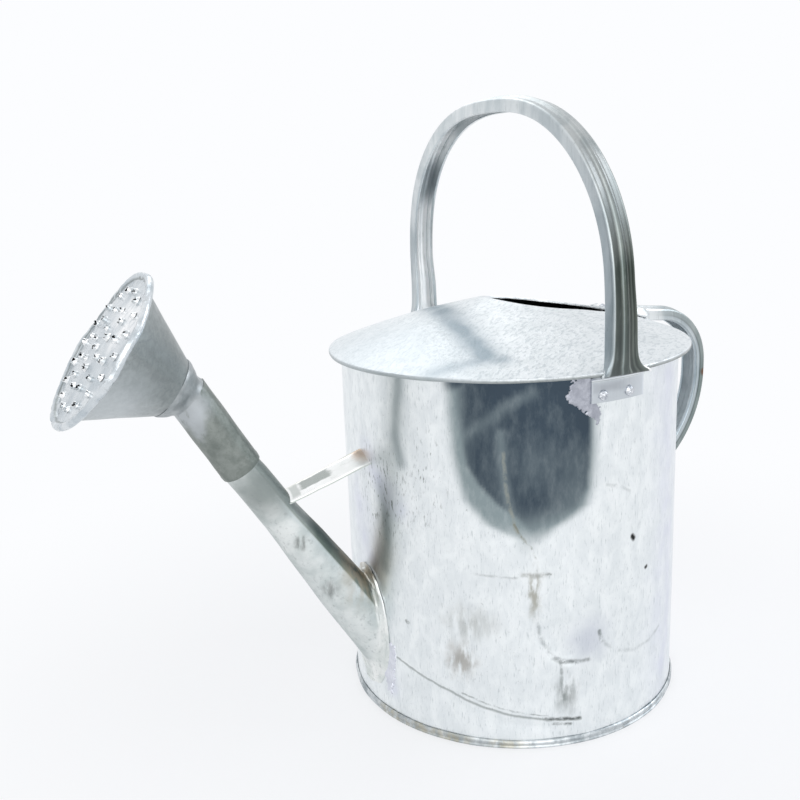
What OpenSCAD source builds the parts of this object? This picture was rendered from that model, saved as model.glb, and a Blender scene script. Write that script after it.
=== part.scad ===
// Galvanised sheet watering can: riveted bow handle over the lid, strap handle
// at the back, braced spout and a rose that pulls off the spout's tip.
// Millimetres. Origin: centre of the underside, on the ground. Z up,
// spout towards -X, back handle towards +X.

/* [Body] */
// outside diameter of the body wall
body_d = 235.6; // [180:1:300]
// height from the ground to the top of the lid's rim
body_h = 250; // [190:1:320]
// thickness of the body, base and lid sheet
sheet = 0.8; // [0.6:0.1:1.5]
// height of the folded foot rim
foot_h = 6; // [4:0.5:12]
// height of the bottom sheet above the ground
foot_gap = 2; // [1:0.5:4]

/* [Lid] */
// how far the lid's rim stands out from the body wall
lid_lip = 7.5; // [4:0.5:12]
// rise of the lid from its rim to its centre
lid_rise = 33.5; // [20:1:60]
// how much the lid bulges above a straight cone
lid_bulge = 3.2; // [0:0.1:6]
// depth of the folded rim
lid_fold = 2.8; // [2.4:0.1:5]
// half width of the fill opening
mouth_r = 41; // [25:1:44]
// distance from the fill opening's back end to the lid's rim
mouth_back = 40.3; // [39:0.1:60]
// length of the fill opening's straight part
mouth_run = 17; // [4:1:18]

/* [Handle strap] */
// width of the pressed strap
strap_w = 17; // [14:0.5:22]
// depth of the strap's side walls
strap_deep = 9; // [7:0.5:12]
// thickness of the strap sheet
strap_t = 1; // [0.8:0.1:1.6]
// how far the middle bead stands out
bead_out = 1.6; // [1:0.1:2.4]
// radius of the middle bead
bead_r = 3; // [2.6:0.1:3.6]
// width of the folded free edge
hem_w = 2.4; // [1.5:0.1:3]

/* [Bow handle] */
// gap between the lid's rim and the inside of the strap's flat web
bow_gap = 0.6; // [0.4:0.1:6]
// height above the lid's rim at which the bow starts to curve
bow_leg = 53.4; // [40:0.2:90]
// half length of the bow's flatter crown
bow_flat = 16.9; // [5:0.1:40]
// width of the riveted feet
foot_w = 42; // [34:1:56]
// how far the riveted feet reach below the lid's rim
foot_drop = 21; // [18:0.5:60]

/* [Back handle] */
// how far the handle reaches behind the body wall
grip_out = 63.6; // [50:0.5:90]
// height of the handle's top above the lid's rim
grip_rise = 7.9; // [7:0.1:10]
// radius of the upper corner
grip_r = 45.4; // [30:0.5:46]
// radius of the lower curve
low_r = 90.5; // [84:0.5:100]
// depth below the lid's rim where the lower curve starts
low_drop = 44; // [40:0.5:60]
// width of the flattened ends
tail_w = 40; // [30:1:48]

/* [Spout] */
// angle of the spout above level
spout_tilt = 57; // [50:0.5:59]
// how much steeper the tip stands than the rest of the spout
tip_kick = 3; // [0:0.5:6]
// height of the tip end of the bare spout, beside the rose's socket
tip_z = 191.7; // [180:0.1:230]
// distance of that point from the body wall
tip_out = 83.4; // [72:0.2:110]
// outside diameter of the spout's tip
tip_d = 24; // [18:0.5:30]
// outside diameter where the spout meets the body
root_d = 36.6; // [30:0.5:46]
// thickness of the spout sheet
spout_t = 0.9; // [0.7:0.1:1.4]
// width of the soldered flange round the spout's foot
flange_w = 3; // [2:0.5:6]
// length of the tip inside the rose's socket
tip_in = 38; // [20:1:50]

/* [Brace] */
// width of the brace at the body
brace_w = 30; // [20:1:36]
// width of the brace at the spout
brace_tip_w = 17; // [10:1:20]
// height of the brace's ridge
brace_ridge = 7; // [3:0.5:9]
// thickness of the brace sheet
brace_t = 1; // [0.8:0.1:1.6]
// height where the brace meets the body
brace_z = 184; // [150:1:210]
// angle of the brace above level
brace_tilt = 18; // [5:1:25]

/* [Rose] */
// diameter of the rose over its rim
rose_d = 104; // [70:1:130]
// angle of the rose's axis above level
rose_tilt = 36.4; // [25:0.2:56]
// length of the socket from its open end to the elbow
socket_l = 58.5; // [50:0.5:80]
// distance from the elbow to the rose's face
rose_l = 61; // [50:0.5:80]
// thickness of the rose sheet
rose_t = 0.9; // [0.7:0.1:1.4]
// radial running gap between the tip and the socket
fit_gap = 0.05; // [0.02:0.01:0.1]
// socket wall thickness, with its solder
socket_t = 1.25; // [0.8:0.05:2]
// outside diameter of the cone's narrow end, over the collar
collar_d = 39; // [32:1:50]
// diameter of the water holes
hole_d = 1.8; // [1:0.1:2.6]
// number of rings of holes round the middle one
hole_rings = 3; // [1:1:3]
// width of the crimped rim
rim_w = 4; // [2.5:0.5:6]
// how far the rim stands out from the cone's wide end
rim_out = 6.5; // [5:0.5:10]

/* [Rivets] */
// shank diameter
rivet_d = 4; // [3:0.5:5]
// head diameter
rivet_head = 8; // [6:0.5:9]
// distance between the rivets of one foot
rivet_gap = 20; // [14:1:26]

/* [Hidden] */
$fn = 96;
e = 0.01;
body_r = body_d / 2;
lid_r = body_r + lid_lip;
wall_z = foot_gap + sheet;
fold_z = body_h - lid_fold;
flange_top = fold_z + 2 * sheet;
rim_in = lid_r - sheet;
mouth_x = lid_r - mouth_back - mouth_r - mouth_run;

// lid profile: a shallow dome drawn as short straight runs
lid_n = 8;
function lid_z(r) = body_h + lid_rise * (1 - r / lid_r)
    + 4 * lid_bulge * (r / lid_r) * (1 - r / lid_r);
lid_pts = [for (i = [0:lid_n]) [lid_r * i / lid_n, lid_z(lid_r * i / lid_n)]];
lid_top = lid_z(0);

// bow handle
bow_half = lid_r + bow_gap + strap_t;
bow_side_y = bow_flat;
bow_r = bow_half - bow_flat;
bow_spring = body_h + bow_leg;
foot_z = body_h - foot_drop;
flare_z = body_h + 12;
crease_z = fold_z - 0.7;
crease_y = lid_r + strap_t + 0.3;
foot_low_y = body_r + strap_t - 0.25;

// back handle
grip_x = body_r + grip_out;
grip_top = body_h + grip_rise;
low_z = body_h - low_drop;
grip_cx = grip_x - grip_r;
grip_cz = grip_top - grip_r;
low_cx = grip_x - low_r;
tail_x = body_r - 29.8;
land_x = body_r - 16.8;
rim_x = body_r + 0.2;
low_end_z = low_z - sqrt(low_r * low_r - pow(body_r - low_cx, 2));
tail_low = low_end_z - 22;
tail_rise = 1.9;
lid_rivet_x = (tail_x + land_x) / 2;
lid_rivet_z = lid_z(sqrt(pow(lid_rivet_x, 2) + pow(rivet_gap / 2, 2)));
lid_stand = lid_z(tail_x) + strap_t - lid_rivet_z + 0.3
    + (lid_z(land_x) + tail_rise - lid_z(tail_x) - strap_t) * (lid_rivet_x - tail_x)
    / (land_x + 3 - tail_x);

// spout, in its own frame: +Z runs down into the body from the tip's shoulder
tip_x = body_r + tip_out;
run = tip_out / cos(spout_tilt);
tip_r = tip_d / 2;
root_r = root_d / 2;
root_z = tip_z - run * sin(spout_tilt);
neck = run * 0.29;
tip_gap = 1.4;

// rose
socket_ri = tip_r + fit_gap;
socket_ro = socket_ri + socket_t;
bend = spout_tilt + tip_kick - rose_tilt;
elbow_x = -(tip_x + socket_l * cos(spout_tilt + tip_kick));
elbow_z = tip_z + socket_l * sin(spout_tilt + tip_kick);
cone_start = 12.6;
neck_z = 0;
seam_share = 0.38;
rim_t = 2.2;
rim_deep = 4.6;
face_r = rose_d / 2 - rim_w;
cone_end_r = rose_d / 2 - rim_out;
flange_z = rose_l - rim_t;
collar_r = collar_d / 2;

ring_holes = [6, 12, 18];

// rivets: wall height above their chord, and the leaning foot's outer face over it
rivet_r = rivet_d / 2;
foot_rivet_z = foot_z + 5;
wall_out = sqrt(body_r * body_r - rivet_gap * rivet_gap / 4);
foot_lean = (crease_y - foot_low_y) / (crease_z - foot_z);
foot_stand = foot_low_y + (foot_rivet_z - foot_z) * foot_lean - wall_out;
wall_back = wall_out
    - sqrt(pow(body_r - sheet, 2) - pow(rivet_gap / 2 + rivet_head * 0.44, 2));

// which piece to build

// ---- helpers ----

module ring(ro, ri, z0, z1) {
    translate([0, 0, z0]) difference() {
        cylinder(r = ro, h = z1 - z0);
        translate([0, 0, -1]) cylinder(r = ri, h = z1 - z0 + 2);
    }
}

// pressed strap section, x = distance from the bend axis, outer web face at x = r
module strap_section(r) {
    difference() {
        union() {
            translate([r - strap_deep, -strap_w / 2]) square([strap_deep, strap_w]);
            intersection() {
                translate([r + bead_out - bead_r, 0]) circle(r = bead_r);
                translate([r - e, -bead_r]) square([2 * bead_r, 2 * bead_r]);
            }
        }
        translate([r - strap_deep - 1, -strap_w / 2 + strap_t])
            square([strap_deep + 1 - strap_t, strap_w - 2 * strap_t]);
        intersection() {
            translate([r + bead_out - bead_r, 0]) circle(r = bead_r - strap_t);
            translate([r - strap_t - e, -bead_r]) square([2 * bead_r, 2 * bead_r]);
        }
    }
    for (s = [-1, 1])
        translate([r - strap_deep, s * (strap_w / 2 - hem_w / 2) - hem_w / 2])
            square([strap_t, hem_w]);
}

// frame along the spout: origin at the tip's shoulder, +Z down into the body
module on_spout() {
    translate([-tip_x, 0, tip_z]) rotate([0, 90 + spout_tilt, 0]) children();
}

// the same for the steeper tip inside the rose's socket
module on_tip() {
    translate([-tip_x, 0, tip_z]) rotate([0, 90 + spout_tilt + tip_kick, 0]) children();
}

// frame along the rose: origin at the elbow, +Z out through the face
module on_rose() {
    translate([elbow_x, 0, elbow_z]) rotate([0, -(90 - rose_tilt), 0]) children();
}

// everything past the elbow plane on the rose's side
module elbow_half(side) {
    translate([elbow_x, 0, elbow_z]) rotate([0, -(90 - rose_tilt - bend * seam_share), 0])
        translate([-100, -100, side > 0 ? 0 : -200]) cube([200, 200, 200]);
}

module spout_profile(grow) {
    polygon([[0, tip_gap], [tip_r + 0.35 + grow, tip_gap], [tip_r + 0.5 + grow, neck],
        [tip_r + 2.6 + grow, run * 0.48], [tip_r + 5.1 + grow, run * 0.77],
        [root_r + grow, run], [root_r + 1.4 + grow, run + 45], [0, run + 45]]);
}

// space taken by the spout's bore, also the hole in the body wall
module spout_bore() {
    on_spout() rotate_extrude() spout_profile(-spout_t);
    on_tip() translate([0, 0, -tip_in - 5]) cylinder(r = tip_r - spout_t, h = tip_in + 8);
}

// wall of the body, outside face only
module body_solid(r = body_r) {
    translate([0, 0, -10]) cylinder(r = r, h = body_h + 40, $fn = 180);
}

// ---- the can ----

module body_shell() color([0.78, 0.80, 0.82]) difference() {
    rotate_extrude($fn = 180) polygon([[body_r - sheet, wall_z], [body_r, wall_z],
        [body_r, fold_z + sheet], [rim_in, fold_z + sheet], [rim_in, flange_top],
        [body_r - sheet, flange_top]]);
    intersection() {
        spout_bore();
        translate([-body_r - 20, -60, 8]) cube([80, 120, 160]);
    }
    for (s = [-1, 1]) bow_rivet_places(s) rivet_hole();
    low_rivet_places() rivet_hole();
}

module base_pan() color([0.74, 0.76, 0.78]) rotate_extrude($fn = 180)
    polygon([[0, foot_gap], [body_r - 1.6, foot_gap], [body_r - 1.6, 0],
        [body_r + 1.2, 0], [body_r + 1.2, foot_h], [body_r, foot_h], [body_r, wall_z],
        [0, wall_z]]);

module mouth_shape(grow = 0) {
    translate([mouth_x, 0]) circle(r = mouth_r + grow);
    translate([mouth_x + mouth_run, 0]) circle(r = mouth_r + grow);
    translate([mouth_x, -mouth_r - grow]) square([mouth_run, 2 * (mouth_r + grow)]);
}

module top_cover() color([0.80, 0.82, 0.84]) difference() {
    rotate_extrude($fn = 180) polygon(concat(
        [for (i = [0:lid_n]) lid_pts[i]],
        [[lid_r, fold_z], [body_r + 0.5, fold_z], [body_r + 0.5, fold_z + sheet],
        [rim_in, fold_z + sheet], [rim_in, body_h - sheet * 0.8]],
        [for (i = [lid_n - 1:-1:0]) [lid_pts[i][0], lid_pts[i][1] - sheet]]));
    translate([0, 0, body_h + 2]) linear_extrude(60) mouth_shape();
    lid_rivet_places() rivet_hole();
}

// the lid's outer surface as a solid, used to seat what lies on it
module lid_solid() {
    rotate_extrude($fn = 180) polygon(concat([[0, body_h - 10]],
        [for (i = [0:lid_n]) lid_pts[i]], [[lid_r, body_h - 10]]));
}

// ---- bow handle ----

// outline of a foot seen square on: x across, y up
module foot_outline() {
    polygon([[-strap_w / 2, flare_z + 1], [-strap_w / 2, flare_z],
        [-strap_w / 2 - 1.2, flare_z - 4], [-strap_w / 2 - 4, flare_z - 8],
        [-foot_w * 0.41, body_h + 1], [-foot_w / 2, crease_z], [-foot_w / 2, foot_z - 1],
        [foot_w / 2, foot_z - 1], [foot_w / 2, crease_z], [foot_w * 0.41, body_h + 1],
        [strap_w / 2 + 4, flare_z - 8], [strap_w / 2 + 1.2, flare_z - 4],
        [strap_w / 2, flare_z], [strap_w / 2, flare_z + 1]]);
}

// bent strip seen from the side: x outwards, y up
module foot_strip() {
    polygon([[bow_half, flare_z + 0.5], [bow_half, body_h + 0.5], [crease_y, crease_z],
        [foot_low_y, foot_z], [foot_low_y - strap_t, foot_z + 0.3],
        [crease_y - strap_t - 0.02, crease_z + 0.25], [bow_half - strap_t, body_h + 0.9],
        [bow_half - strap_t, flare_z + 0.5]]);
}

module bow_foot() {
    difference() {
        intersection() {
            rotate([90, 0, 0]) translate([0, 0, -bow_half - 5])
                linear_extrude(bow_half + 5) foot_outline();
            rotate([90, 0, 90]) translate([0, 0, -foot_w])
                linear_extrude(2 * foot_w) foot_strip();
        }
        body_solid();
    }
}

// foot, leg and shoulder on the +Y side
module bow_side() {
    translate([0, 0, flare_z]) linear_extrude(bow_spring - flare_z)
        rotate(90) strap_section(bow_half);
    translate([0, bow_side_y, bow_spring]) rotate([90, 0, 90])
        rotate_extrude(angle = 90, $fn = 180) strap_section(bow_r);
    bow_foot();
}

// short straight run between the two shoulders
module bow_top_run() {
    translate([0, bow_side_y, bow_spring]) rotate([90, 0, 0])
        linear_extrude(2 * bow_side_y) rotate(90) strap_section(bow_r);
}

module bow_rivet_places(s) {
    for (x = [-1, 1]) rotate([0, 0, s > 0 ? 0 : 180])
        translate([x * rivet_gap / 2, wall_out, foot_rivet_z]) rotate([-90, 0, 0]) children();
}

module rivet_hole() {
    translate([0, 0, -6]) cylinder(r = rivet_r, h = 16, $fn = 32);
}

module bow_handle() color([0.62, 0.65, 0.66]) difference() {
    union() {
        bow_top_run();
        bow_side();
        mirror([0, 1, 0]) bow_side();
    }
    for (s = [-1, 1]) bow_rivet_places(s) rivet_hole();
}

// rivet with a domed head outside and a flat one inside, axis +Z outwards, z = 0 at the wall
module rivet(stand, inside, lean = 0) {
    translate([0, 0, -inside]) cylinder(r = rivet_r, h = inside + stand + 0.5, $fn = 32);
    translate([0, 0, stand]) rotate([-lean, 0, 0]) intersection() {
        translate([0, 0, -rivet_head * 0.36]) sphere(r = rivet_head * 0.616, $fn = 48);
        cylinder(r = rivet_head / 2, h = rivet_head, $fn = 48);
    }
    translate([0, 0, -inside - 1.2]) cylinder(r = rivet_head * 0.44, h = 1.2, $fn = 32);
}

module bow_handle_rivets() color([0.86, 0.87, 0.88])
    for (s = [-1, 1]) bow_rivet_places(s) rivet(foot_stand + 0.05, wall_back, atan(foot_lean));

// ---- back handle ----

module tail_outline(x0, x1, w0, w1) {
    polygon([[x0, -w0 / 2], [x0, w0 / 2], [x0 + (x1 - x0) * 0.45, w0 / 2 + (w1 - w0) * 0.16],
        [x1 - (x1 - x0) * 0.08, w1 / 2 - 1.5], [x1, w1 / 2], [x1, -w1 / 2],
        [x1 - (x1 - x0) * 0.08, -w1 / 2 + 1.5],
        [x0 + (x1 - x0) * 0.45, -w0 / 2 - (w1 - w0) * 0.16]]);
}

// strip lying on the lid, seen from the side: x outwards, y up
module tail_strip() {
    polygon([[grip_cx - 6, grip_top], [rim_x, grip_top + 3.6], [land_x + 3, lid_z(land_x) + tail_rise],
        [tail_x, lid_z(tail_x) + strap_t], [tail_x, lid_z(tail_x) - 0.3],
        [land_x + 3, lid_z(land_x) + tail_rise - strap_t], [rim_x, grip_top + 2.6],
        [grip_cx - 6, grip_top - strap_t]]);
}

module lid_tail() {
    difference() {
        intersection() {
            rotate([90, 0, 0]) translate([0, 0, -40]) linear_extrude(80) tail_strip();
            translate([0, 0, body_h - 5]) linear_extrude(40) union() {
                tail_outline(grip_cx - 5.9, rim_x - 6, strap_w, tail_w);
                translate([tail_x, -tail_w / 2]) square([rim_x - 6 - tail_x + e, tail_w]);
            }
        }
        lid_solid();
    }
}

module lid_rivet_places() {
    for (s = [-1, 1]) translate([lid_rivet_x, s * rivet_gap / 2, lid_rivet_z])
        rotate([0, atan(lid_rise / lid_r), 0]) children();
}

module low_rivet_places() {
    for (s = [-1, 1]) translate([wall_out, s * rivet_gap / 2, tail_low + 9])
        rotate([0, 90, 0]) children();
}

// plate curved to the body wall below the strap
module wall_tail() {
    intersection() {
        ring(body_r + strap_t, body_r, tail_low, low_end_z + 3);
        rotate([90, 0, 90]) linear_extrude(body_r + 20) polygon([
            [-strap_w / 2, low_end_z + 3], [-strap_w / 2, low_end_z],
            [-tail_w / 2 + 3, low_end_z - 5], [-tail_w / 2, low_end_z - 9],
            [-tail_w / 2, tail_low], [tail_w / 2, tail_low], [tail_w / 2, low_end_z - 9],
            [tail_w / 2 - 3, low_end_z - 5], [strap_w / 2, low_end_z],
            [strap_w / 2, low_end_z + 3]]);
    }
}

module rear_handle() color([0.66, 0.69, 0.71]) difference() {
    union() {
        translate([grip_cx, 0, grip_cz]) rotate([90, 0, 0])
            rotate_extrude(angle = 90, $fn = 180) strap_section(grip_r);
        translate([grip_cx - 6, 0, grip_cz]) rotate([90, 0, 90])
            linear_extrude(6) rotate(90) strap_section(grip_r);
        translate([grip_cx, 0, low_z]) linear_extrude(grip_cz - low_z) strap_section(grip_r);
        difference() {
            translate([low_cx, 0, low_z]) rotate([-90, 0, 0])
                rotate_extrude(angle = 78, $fn = 180) strap_section(low_r);
            body_solid();
        }
        lid_tail();
        wall_tail();
    }
    lid_rivet_places() rivet_hole();
    low_rivet_places() rivet_hole();
}

module rear_handle_rivets() color([0.86, 0.87, 0.88]) {
    lid_rivet_places() rivet(lid_stand, sheet + 0.3);
    low_rivet_places() rivet(strap_t + 0.45, wall_back);
}

// ---- spout and brace ----

module spout() color([0.70, 0.72, 0.72]) difference() {
    union() {
        difference() {
            on_spout() rotate_extrude($fn = 120) spout_profile(0);
            body_solid();
        }
        on_tip() translate([0, 0, -tip_in]) cylinder(r = tip_r, h = tip_in + 3);
        intersection() {
            on_spout() rotate_extrude($fn = 120) spout_profile(flange_w);
            ring(body_r + 1.2, body_r, wall_z + foot_h, body_h - 20);
            translate([-body_r - 20, -60, 0]) cube([80, 120, 200]);
        }
    }
    spout_bore();
}

module spout_brace() color([0.84, 0.85, 0.84]) difference() {
    intersection() {
        translate([-body_r + 4, 0, brace_z]) rotate([0, -90 - brace_tilt, 0])
            linear_extrude(90) polygon([
                [0, -brace_w / 2], [brace_ridge, 0], [0, brace_w / 2],
                [-brace_t, brace_w / 2], [brace_ridge - brace_t, 0], [-brace_t, -brace_w / 2]]);
        translate([0, 0, brace_z - 60]) linear_extrude(100) polygon([
            [-body_r + 6, -brace_w / 2], [-body_r + 6, brace_w / 2],
            [-tip_x + 14, brace_tip_w / 2], [-tip_x + 14, -brace_tip_w / 2]]);
    }
    body_solid();
    on_spout() rotate_extrude($fn = 120) spout_profile(0);
    on_spout() translate([-3, -60, -30]) cube([120, 120, run + 30]);
}

// ---- rose ----

module rose_sleeve() color([0.60, 0.62, 0.60]) difference() {
    intersection() {
        on_tip() translate([0, 0, -socket_l - 20]) cylinder(r = socket_ro, h = socket_l + 20);
        elbow_half(-1);
    }
    on_tip() translate([0, 0, -socket_l - 30]) cylinder(r = socket_ri, h = socket_l + 40);
}

// short flared collar between the socket and the cone, cut square to the elbow
module rose_collar() color([0.70, 0.72, 0.72]) difference() {
    intersection() {
        on_rose() rotate_extrude($fn = 120) polygon([[0, -12], [socket_ro, -12],
            [socket_ro, neck_z], [collar_r, cone_start], [0, cone_start]]);
        elbow_half(1);
    }
    on_rose() rotate_extrude($fn = 120) polygon([[0, -30], [socket_ri, -30],
        [socket_ri, neck_z + 0.5], [collar_r - rose_t * 1.3, cone_start],
        [collar_r - rose_t * 1.3, cone_start + 1], [0, cone_start + 1]]);
}

module rose_cone() color([0.66, 0.68, 0.66]) on_rose() rotate_extrude($fn = 120)
    polygon([[collar_r - rose_t * 1.3, cone_start], [collar_r, cone_start],
        [cone_end_r, flange_z - rose_t], [face_r - 0.1, flange_z - rose_t],
        [face_r - 0.1, flange_z], [cone_end_r - rose_t * 1.2, flange_z]]);

module hole_places() {
    children();
    for (i = [1:hole_rings]) for (k = [0:ring_holes[i - 1] - 1])
        rotate(k * 360 / ring_holes[i - 1] + i * 11)
            translate([i * face_r * 0.27, 0, 0]) children();
}

module rose_face() color([0.86, 0.88, 0.88]) on_rose() translate([0, 0, rose_l]) difference() {
    union() {
        rotate_extrude($fn = 120) polygon([[0, -rim_t], [face_r, -rim_t],
            [face_r, -rim_deep], [rose_d / 2 - 0.8, -rim_deep], [rose_d / 2, -rim_deep + 0.8],
            [rose_d / 2, -0.8], [rose_d / 2 - 0.8, 0], [face_r, 0],
            [face_r - 0.9, -rim_t + rose_t], [0, -rim_t + rose_t]]);
        hole_places() translate([0, 0, -rim_t + rose_t - e])
            cylinder(r1 = hole_d / 2 + 1.3, r2 = hole_d / 2 + 0.35, h = 2.1, $fn = 24);
    }
    hole_places() translate([0, 0, -rim_t - 2]) cylinder(r = hole_d / 2, h = 8, $fn = 24);
}

body_shell();
base_pan();
top_cover();
bow_handle();
rear_handle();
spout();
spout_brace();
rose_sleeve();
rose_collar();
rose_cone();
rose_face();
bow_handle_rivets();
rear_handle_rivets();
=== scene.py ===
# Galvanised watering can: weathered zinc sheet, riveted straps, punched rose.
import bpy
import math
import random
from mathutils import Matrix, Vector, noise


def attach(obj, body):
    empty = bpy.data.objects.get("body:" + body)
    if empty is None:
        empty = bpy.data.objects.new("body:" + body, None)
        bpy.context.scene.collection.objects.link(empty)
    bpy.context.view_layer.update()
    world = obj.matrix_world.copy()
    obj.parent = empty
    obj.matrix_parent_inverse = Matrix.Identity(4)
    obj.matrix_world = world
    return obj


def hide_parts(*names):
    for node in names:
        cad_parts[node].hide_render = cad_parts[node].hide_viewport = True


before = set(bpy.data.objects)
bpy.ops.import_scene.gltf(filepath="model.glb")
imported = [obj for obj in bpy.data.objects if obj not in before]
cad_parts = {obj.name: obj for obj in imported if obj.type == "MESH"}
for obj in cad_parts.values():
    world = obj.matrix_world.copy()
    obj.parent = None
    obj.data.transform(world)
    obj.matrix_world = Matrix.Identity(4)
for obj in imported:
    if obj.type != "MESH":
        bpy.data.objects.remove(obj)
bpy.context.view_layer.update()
bpy.ops.object.select_all(action="DESELECT")
mm = 0.001
wallR = 117.8    # outside of the body wall in mm; its stains and drawn lines are measured round it
print("frame loaded:", len(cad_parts), "nodes")


def hexColour(text):  # sRGB hex to linear
    parts = [int(text[i:i + 2], 16) / 255 for i in (1, 3, 5)]
    return tuple(p / 12.92 if p <= 0.04045 else ((p + 0.055) / 1.055) ** 2.4 for p in parts) + (1.0,)


def addNode(tree, kind, settings=None, links=None):
    node = tree.nodes.new(kind)
    for key, value in (settings or {}).items():
        setattr(node, key, value)
    for key, value in (links or {}).items():
        if isinstance(value, bpy.types.NodeSocket):
            tree.links.new(value, node.inputs[key])
        else:
            node.inputs[key].default_value = value
    return node


def addMath(tree, operation, first, second=None, clamp=False):
    links = {0: first} if second is None else {0: first, 1: second}
    return addNode(tree, "ShaderNodeMath", {"operation": operation, "use_clamp": clamp}, links).outputs[0]


def deselect():
    if bpy.context.object and bpy.context.object.mode != "OBJECT":
        bpy.ops.object.mode_set(mode="OBJECT")
    bpy.ops.object.select_all(action="DESELECT")


def pick(piece):
    deselect()
    piece.select_set(True)
    bpy.context.view_layer.objects.active = piece


def inEditMode(piece, *steps):
    pick(piece)
    bpy.ops.object.mode_set(mode="EDIT")
    bpy.ops.mesh.select_all(action="SELECT")
    for step, settings in steps:
        step(**settings)
    bpy.ops.object.mode_set(mode="OBJECT")


def applyModifier(piece, kind, **settings):
    pick(piece)
    modifier = piece.modifiers.new(kind.title(), kind)
    for key, value in settings.items():
        setattr(modifier, key, value)
    bpy.ops.object.modifier_apply(modifier=modifier.name)


def joinPieces(name, pieces):
    deselect()
    for piece in pieces:
        piece.select_set(True)
    bpy.context.view_layer.objects.active = pieces[0]
    bpy.ops.object.join()
    joined = bpy.context.object
    joined.name = joined.data.name = name
    return joined


def thicken(piece, sheet, outer, inner=None):
    # sheet grows inwards; the inside can have its own finish
    piece.data.materials.append(outer)
    if inner:
        piece.data.materials.append(inner)
    applyModifier(piece, "SOLIDIFY", thickness=sheet * mm, offset=-1, material_offset=1 if inner else 0)


def finishPiece(piece, material, body, node=None, degrees=35):
    pick(piece)
    bpy.ops.object.shade_smooth_by_angle(angle=math.radians(degrees))
    if not piece.data.materials:
        piece.data.materials.append(material)
    if node:
        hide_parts(node)
    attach(piece, body)
    print("made", piece.name, len(piece.data.polygons), "faces")
    return piece


def shapeGrid(name, across, along, place):  # a grid laid onto a surface
    deselect()
    bpy.ops.mesh.primitive_grid_add(x_subdivisions=across, y_subdivisions=along, size=2)
    piece = bpy.context.object
    piece.name = piece.data.name = name
    for vertex in piece.data.vertices:
        vertex.co = place((vertex.co.x + 1) / 2, (vertex.co.y + 1) / 2)
    inEditMode(piece, (bpy.ops.mesh.remove_doubles, {"threshold": 2e-6}))
    return piece


def shapeRing(name, around, loop, place):
    # closed loop of profile points carried right round: place(turn, point) in mm
    def spot(u, v):
        return place(2 * math.pi * u, loop[int(round(v * len(loop))) % len(loop)]) * mm
    piece = shapeGrid(name, around, len(loop), spot)
    inEditMode(piece, (bpy.ops.mesh.normals_make_consistent, {"inside": False}))
    return piece


def lathe(name, profile, steps, origin=(0, 0, 0), axis=(0, 0, 1), side=(1, 0, 0)):
    # closed profile of (radius, height) points in mm, drawn point to point and spun
    origin, axis, side = Vector(origin), Vector(axis).normalized(), Vector(side).normalized()
    spots = [origin + (side * r + axis * h) * mm for r, h in profile]
    deselect()
    bpy.ops.mesh.primitive_plane_add(size=0.001, location=(0, 0, 0))
    piece = bpy.context.object
    piece.name = piece.data.name = name
    bpy.ops.object.mode_set(mode="EDIT")
    bpy.ops.mesh.select_all(action="SELECT")
    bpy.ops.mesh.merge(type="CENTER")
    bpy.ops.transform.translate(value=spots[0])
    for before, after in zip(spots, spots[1:]):
        bpy.ops.mesh.extrude_region_move(TRANSFORM_OT_translate={"value": after - before})
    bpy.ops.mesh.select_all(action="SELECT")
    bpy.ops.mesh.remove_doubles(threshold=1e-6)
    bpy.ops.mesh.spin(steps=steps, angle=2 * math.pi, center=origin, axis=axis)
    bpy.ops.mesh.select_all(action="SELECT")
    bpy.ops.mesh.remove_doubles(threshold=2e-6)
    bpy.ops.mesh.normals_make_consistent(inside=False)
    bpy.ops.object.mode_set(mode="OBJECT")
    return piece


def ease(t):
    t = max(0.0, min(1.0, t))
    return t * t * (3 - 2 * t)


def lerpTable(table, x):  # straight-line lookup in rising (x, y) pairs
    if x <= table[0][0]:
        return table[0][1]
    for (x0, y0), (x1, y1) in zip(table, table[1:]):
        if x <= x1:
            return y0 + (y1 - y0) * (x - x0) / (x1 - x0)
    return table[-1][1]


def runAlong(points, share):  # point at a share of a polyline's length
    lengths = [(b - a).length for a, b in zip(points, points[1:])]
    left = share * sum(lengths)
    for a, b, step in zip(points, points[1:], lengths):
        if left <= step or b is points[-1]:
            return a.lerp(b, min(1.0, left / step if step else 0))
        left -= step


def distanceToPath(x, y, path):
    best = (1e9, 0, 1)
    for i, (a, b) in enumerate(zip(path, path[1:])):
        dx, dy = b[0] - a[0], b[1] - a[1]
        t = max(0.0, min(1.0, ((x - a[0]) * dx + (y - a[1]) * dy) / (dx * dx + dy * dy)))
        d = math.hypot(x - a[0] - dx * t, y - a[1] - dy * t)
        if d < best[0]:
            best = (d, (i + t) / (len(path) - 1), 1 if dx * (y - a[1]) - dy * (x - a[0]) > 0 else -1)
    return best


def paintMarks(piece, tone):  # a vector per vertex the finishes can read
    layer = piece.data.attributes.new(name="marks", type="FLOAT_VECTOR", domain="POINT")
    for vertex in piece.data.vertices:
        layer.data[vertex.index].vector = tone(vertex.co / mm)


cameraSet = {"place": (-0.3704, -0.5645, 0.3771), "aim": (0.4358, 0.8664, -0.2434),
             "roll": -2.43, "lens": 43.2}


def placeCamera():
    back = -Vector(cameraSet["aim"]).normalized()
    right = Vector((0, 0, 1)).cross(back).normalized()
    up = back.cross(right)
    turn = math.radians(cameraSet["roll"])
    rolledRight = right * math.cos(turn) + up * math.sin(turn)
    rolledUp = up * math.cos(turn) - right * math.sin(turn)
    data = bpy.data.cameras.new("camera")
    camera = bpy.data.objects.new("camera", data)
    bpy.context.scene.collection.objects.link(camera)
    data.lens, data.sensor_width, data.clip_start = cameraSet["lens"], 36, 0.01
    camera.matrix_world = Matrix.Translation(cameraSet["place"]) @ Matrix(
        (rolledRight, rolledUp, back)).transposed().to_4x4()
    bpy.context.scene.camera = camera


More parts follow.
